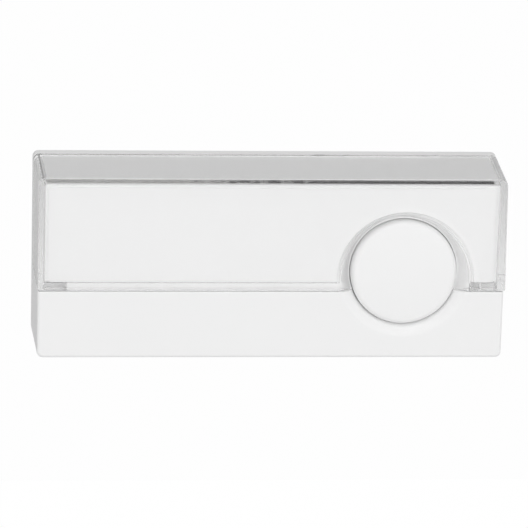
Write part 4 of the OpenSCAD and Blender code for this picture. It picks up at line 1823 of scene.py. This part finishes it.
@dataclass
class CableGrommet(Piece):
    """The rubber grommet in the cable entry."""

    node = "cable_grommet"
    slot = "grommet_rubber"
    flange: tuple[float, float] = (5.2, 1.0)
    waist: float = 3.95
    bore: float = 2.5
    soft: float = 0.35

    def build(self) -> Solid:
        """The grommet with soft edges.

        Returns:
            The solid.
        """
        plate, foot = self.layout.plate, self.layout.shank_gap
        waist, bore, soft = self.waist, self.bore, self.soft
        radius, thick = self.flange
        top = plate + thick
        return Solid.turned(rounded([
            (bore, foot, 0), (waist, foot, soft), (waist, plate, 0), (radius, plate, soft / 2),
            (radius, top, soft), (bore, top, 0),
        ]), self.layout.entry_axis)


@dataclass
class PaintedShadeSeal(Piece):
    """The black rubber strip in the base plate that the cover's top wall closes on, which paints the dark
    shade line seen through that wall.
    """

    node = "rain_seal"
    slot = "seal_rubber"
    edge: float = 0.03

    def build(self) -> Solid:
        """The strip with softened edges.

        Returns:
            The solid.
        """
        front = self.layout.plate + self.layout.seal_rise
        strip = self.layout.seal_strip((front - self.layout.seal_thickness, front))
        return strip.round(self.edge, at_level(Axis.OUT, front), 2)


@dataclass
class ReturnSpring(Piece):
    """The coil spring round the plunger's guide, which the button presses together."""

    node = "return_spring"
    slot = "spring_steel"
    make = Make.COIL
    coil: float = 3.15
    wire: float = 0.25
    low: float = 2.75
    high: float = 6.35
    turns: int = 4
    steps: int = 28
    sides: int = 12
    travel: float = 1.6
    clip_level: float = 6.9

    def build(self) -> Solid:
        """The coil, spun from the wire's section, with short straight ends.

        Returns:
            The solid.
        """
        solid = Solid()
        mesh = solid.mesh
        start = Matrix.Translation((self.coil, 0, self.low)) @ Matrix.Rotation(math.pi / 2, 4, "X")
        ring = bmesh.ops.create_circle(mesh, segments=self.sides, radius=self.wire, matrix=start)["verts"]
        edges = list({edge for vert in ring for edge in vert.link_edges})
        count = self.turns * self.steps
        spun = bmesh.ops.spin(
            mesh, geom=ring + edges, cent=(0, 0, 0), axis=(0, 0, 1), angle=self.turns * math.tau, steps=count,
            dvec=(0, 0, (self.high - self.low) / count),
        )
        last = [item for item in spun["geom_last"] if isinstance(item, bmesh.types.BMEdge)]
        for loop, way in ((edges, -1), (last, 1)):
            end = bmesh.ops.extrude_edge_only(mesh, edges=loop)["geom"]
            verts = [item for item in end if isinstance(item, bmesh.types.BMVert)]
            bmesh.ops.translate(mesh, vec=(0, way * 2 * self.wire, 0), verts=verts)
            rim = [item for item in end if isinstance(item, bmesh.types.BMEdge)]
            bmesh.ops.contextual_create(mesh, geom=rim)
        bmesh.ops.recalc_face_normals(mesh, faces=mesh.faces)
        bmesh.ops.translate(mesh, vec=(*self.layout.button_axis, 0.0), verts=mesh.verts)
        return solid

    def dress(self) -> bpy.types.Object:
        """Makes the piece.

        Returns:
            The piece.
        """
        piece = super().dress()
        x, y = self.layout.button_axis
        length = self.clip_level - self.layout.plate
        anchor = (x * MM, -self.layout.plate * MM, y * MM)
        (length - self.travel) / length
        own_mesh(piece)
        return piece


@dataclass(frozen=True)
class Lobe:
    """Soft light from one side; the turn is to the left of the front, in degrees."""

    strength: float
    focus: float
    turn: float = 0.0
    height: float = 0.0

    def level(self, sheet: NodeSheet, direction: Value) -> Value:
        """How bright the world is in a direction.

        Args:
            sheet: The sheet to draw on.
            direction: The direction out into the world.

        Returns:
            The level.
        """
        turn, height = math.radians(self.turn), math.radians(self.height)
        flat = math.cos(height)
        middle = (-math.sin(turn) * flat, -math.cos(turn) * flat, math.sin(height))
        inputs = {0: direction, 1: middle}
        facing = sheet.node("ShaderNodeVectorMath", {"operation": "DOT_PRODUCT"}, inputs, "Value")
        return self.strength * (facing | 0.0) ** self.focus


@dataclass
class Studio:
    """Camera, soft light and the pale floor."""

    azimuth: float = -5.44
    elevation: float = 15.57
    roll: float = 1.55
    distance: float = 653.0
    target: tuple[float, float, float] = (-0.59, -9.25, -1.63)
    focal_pixels: float = 3773.0
    image_pixels: float = 528.0
    sensor: float = 36.0
    even_light: float = 0.428
    lobes: tuple[Lobe, ...] = (
        Lobe(0.985, 2.0, height=11.0),
        Lobe(3.0, 60.0, turn=25.0, height=62.0),
        Lobe(0.15, 4.0, turn=90.0),
        Lobe(0.4, 4.0, turn=-90.0),
        Lobe(0.04, 2.0, turn=180.0),
    )
    backdrop: float = 0.99
    gloss_share: float = 0.1
    clear_share: float = 0.2
    floor_glow: float = 1.06
    floor_drop: float = 0.25
    floor_size: float = 1.2
    floor_colour: float = 0.9
    floor_dim: float = 0.98
    floor_pitch: float = 60.0
    floor_shadow: float = 0.15
    clear_bounces: int = 128
    glossy_bounces: int = 96
    diffuse_bounces: int = 4

    def camera(self) -> None:
        """Sets the camera at the photograph's viewing angle."""
        a, e, r = (math.radians(x) for x in (self.azimuth, self.elevation, self.roll))
        back = Vector((math.sin(a) * math.cos(e), -math.cos(a) * math.cos(e), math.sin(e)))
        level = Vector((0, 0, 1)).cross(back).normalized()
        upright = back.cross(level)
        right = level * math.cos(r) + upright * math.sin(r)
        up = upright * math.cos(r) - level * math.sin(r)
        lens = bpy.data.cameras.new("photo camera")
        lens.sensor_width = self.sensor
        lens.lens = self.focal_pixels / self.image_pixels * self.sensor
        camera = bpy.data.objects.new("photo camera", lens)
        camera.matrix_world = Matrix((right, up, back)).transposed().to_4x4()
        camera.location = (Vector(self.target) + back * self.distance) * MM
        bpy.context.scene.collection.objects.link(camera)
        bpy.context.scene.camera = camera

    def _shown(self, sheet: NodeSheet) -> Value:
        """A mask for what the camera sees, directly or in gloss and clear plastic.

        Args:
            sheet: The sheet to draw on.

        Returns:
            The mask.
        """
        ray = sheet.node("ShaderNodeLightPath", output="Is Camera Ray")
        clear = self.clear_share * ray.other("Is Transmission Ray")
        seen = ray | clear | self.gloss_share * ray.other("Is Glossy Ray")
        return seen * (ray.other("Diffuse Depth") < 0.5)

    def world(self) -> None:
        """Fills the world with soft light, strongest from the front."""
        world = bpy.data.worlds.new("soft light")
        world.use_nodes = True
        bpy.context.scene.world = world
        sheet = NodeSheet(world.node_tree)
        direction = sheet.node("ShaderNodeTexCoord", output="Generated")
        level = self.even_light
        for lobe in self.lobes:
            level = level + lobe.level(sheet, direction)
        light = sheet.node("ShaderNodeBackground", None, {"Color": grey(1.0), "Strength": level})
        white = sheet.node("ShaderNodeBackground", None, {"Color": grey(1.0), "Strength": self.backdrop})
        mixed = sheet.node("ShaderNodeMixShader", None, {0: self._shown(sheet), 1: light, 2: white})
        sheet.node("ShaderNodeOutputWorld", None, {"Surface": mixed})

    def floor(self) -> None:
        """Lays the pale floor, which keeps a soft shadow."""
        mesh = bmesh.new()
        bmesh.ops.create_grid(mesh, x_segments=1, y_segments=1, size=self.floor_size / 2)
        bmesh.ops.translate(mesh, vec=(0, 0, -self.floor_drop), verts=mesh.verts)
        data = bpy.data.meshes.new("floor")
        mesh.to_mesh(data)
        mesh.free()
        floor = bpy.data.objects.new("floor", data)
        bpy.context.scene.collection.objects.link(floor)
        material = bpy.data.materials.new("pale floor")
        material.use_nodes = True
        sheet = NodeSheet(material.node_tree)
        speck = sheet.noise(sheet.millimetres(), self.floor_pitch)
        tone = sheet.mix(speck, grey(self.floor_colour), grey(self.floor_colour * self.floor_dim))
        matt = sheet.node("ShaderNodeBsdfDiffuse", None, {"Color": tone})
        glow = sheet.node("ShaderNodeEmission", None, {"Color": grey(1.0), "Strength": self.floor_glow})
        share = (1 - self.floor_shadow) * self._shown(sheet)
        mixed = sheet.node("ShaderNodeMixShader", None, {0: share, 1: matt, 2: glow})
        sheet.node("ShaderNodeOutputMaterial", None, {"Surface": mixed})
        data.materials.append(material)

    def dress(self) -> None:
        """Sets the whole stage."""
        self.camera()
        self.world()
        self.floor()
        bpy.context.scene.view_settings.view_transform = "Standard"
        paths = bpy.context.scene.cycles
        paths.blur_glossy = 0.0
        paths.max_bounces = self.clear_bounces
        paths.transmission_bounces = self.clear_bounces
        paths.glossy_bounces = self.glossy_bounces
        paths.diffuse_bounces = self.diffuse_bounces


def main() -> None:
    """Builds the bell push in order."""
    logging.basicConfig(level=logging.INFO, format="%(name)s: %(message)s")
    finishes = Finishes()
    layout = Layout(Outline.of_frame())
    assemblies = (
        Studio(),
        BasePlate(layout, finishes.base),
        Housing(layout, finishes.housing),
        NameCover(layout, finishes.clear),
        NameCard(layout, finishes.card),
        Button(layout, finishes),
        Contacts(layout, finishes),
        CableGrommet(layout, finishes.rubber),
        PaintedShadeSeal(layout, finishes.seal),
        ReturnSpring(layout, finishes.spring),
    )
    for assembly in assemblies:
        assembly.dress()


if __name__ == "__main__":
    main()
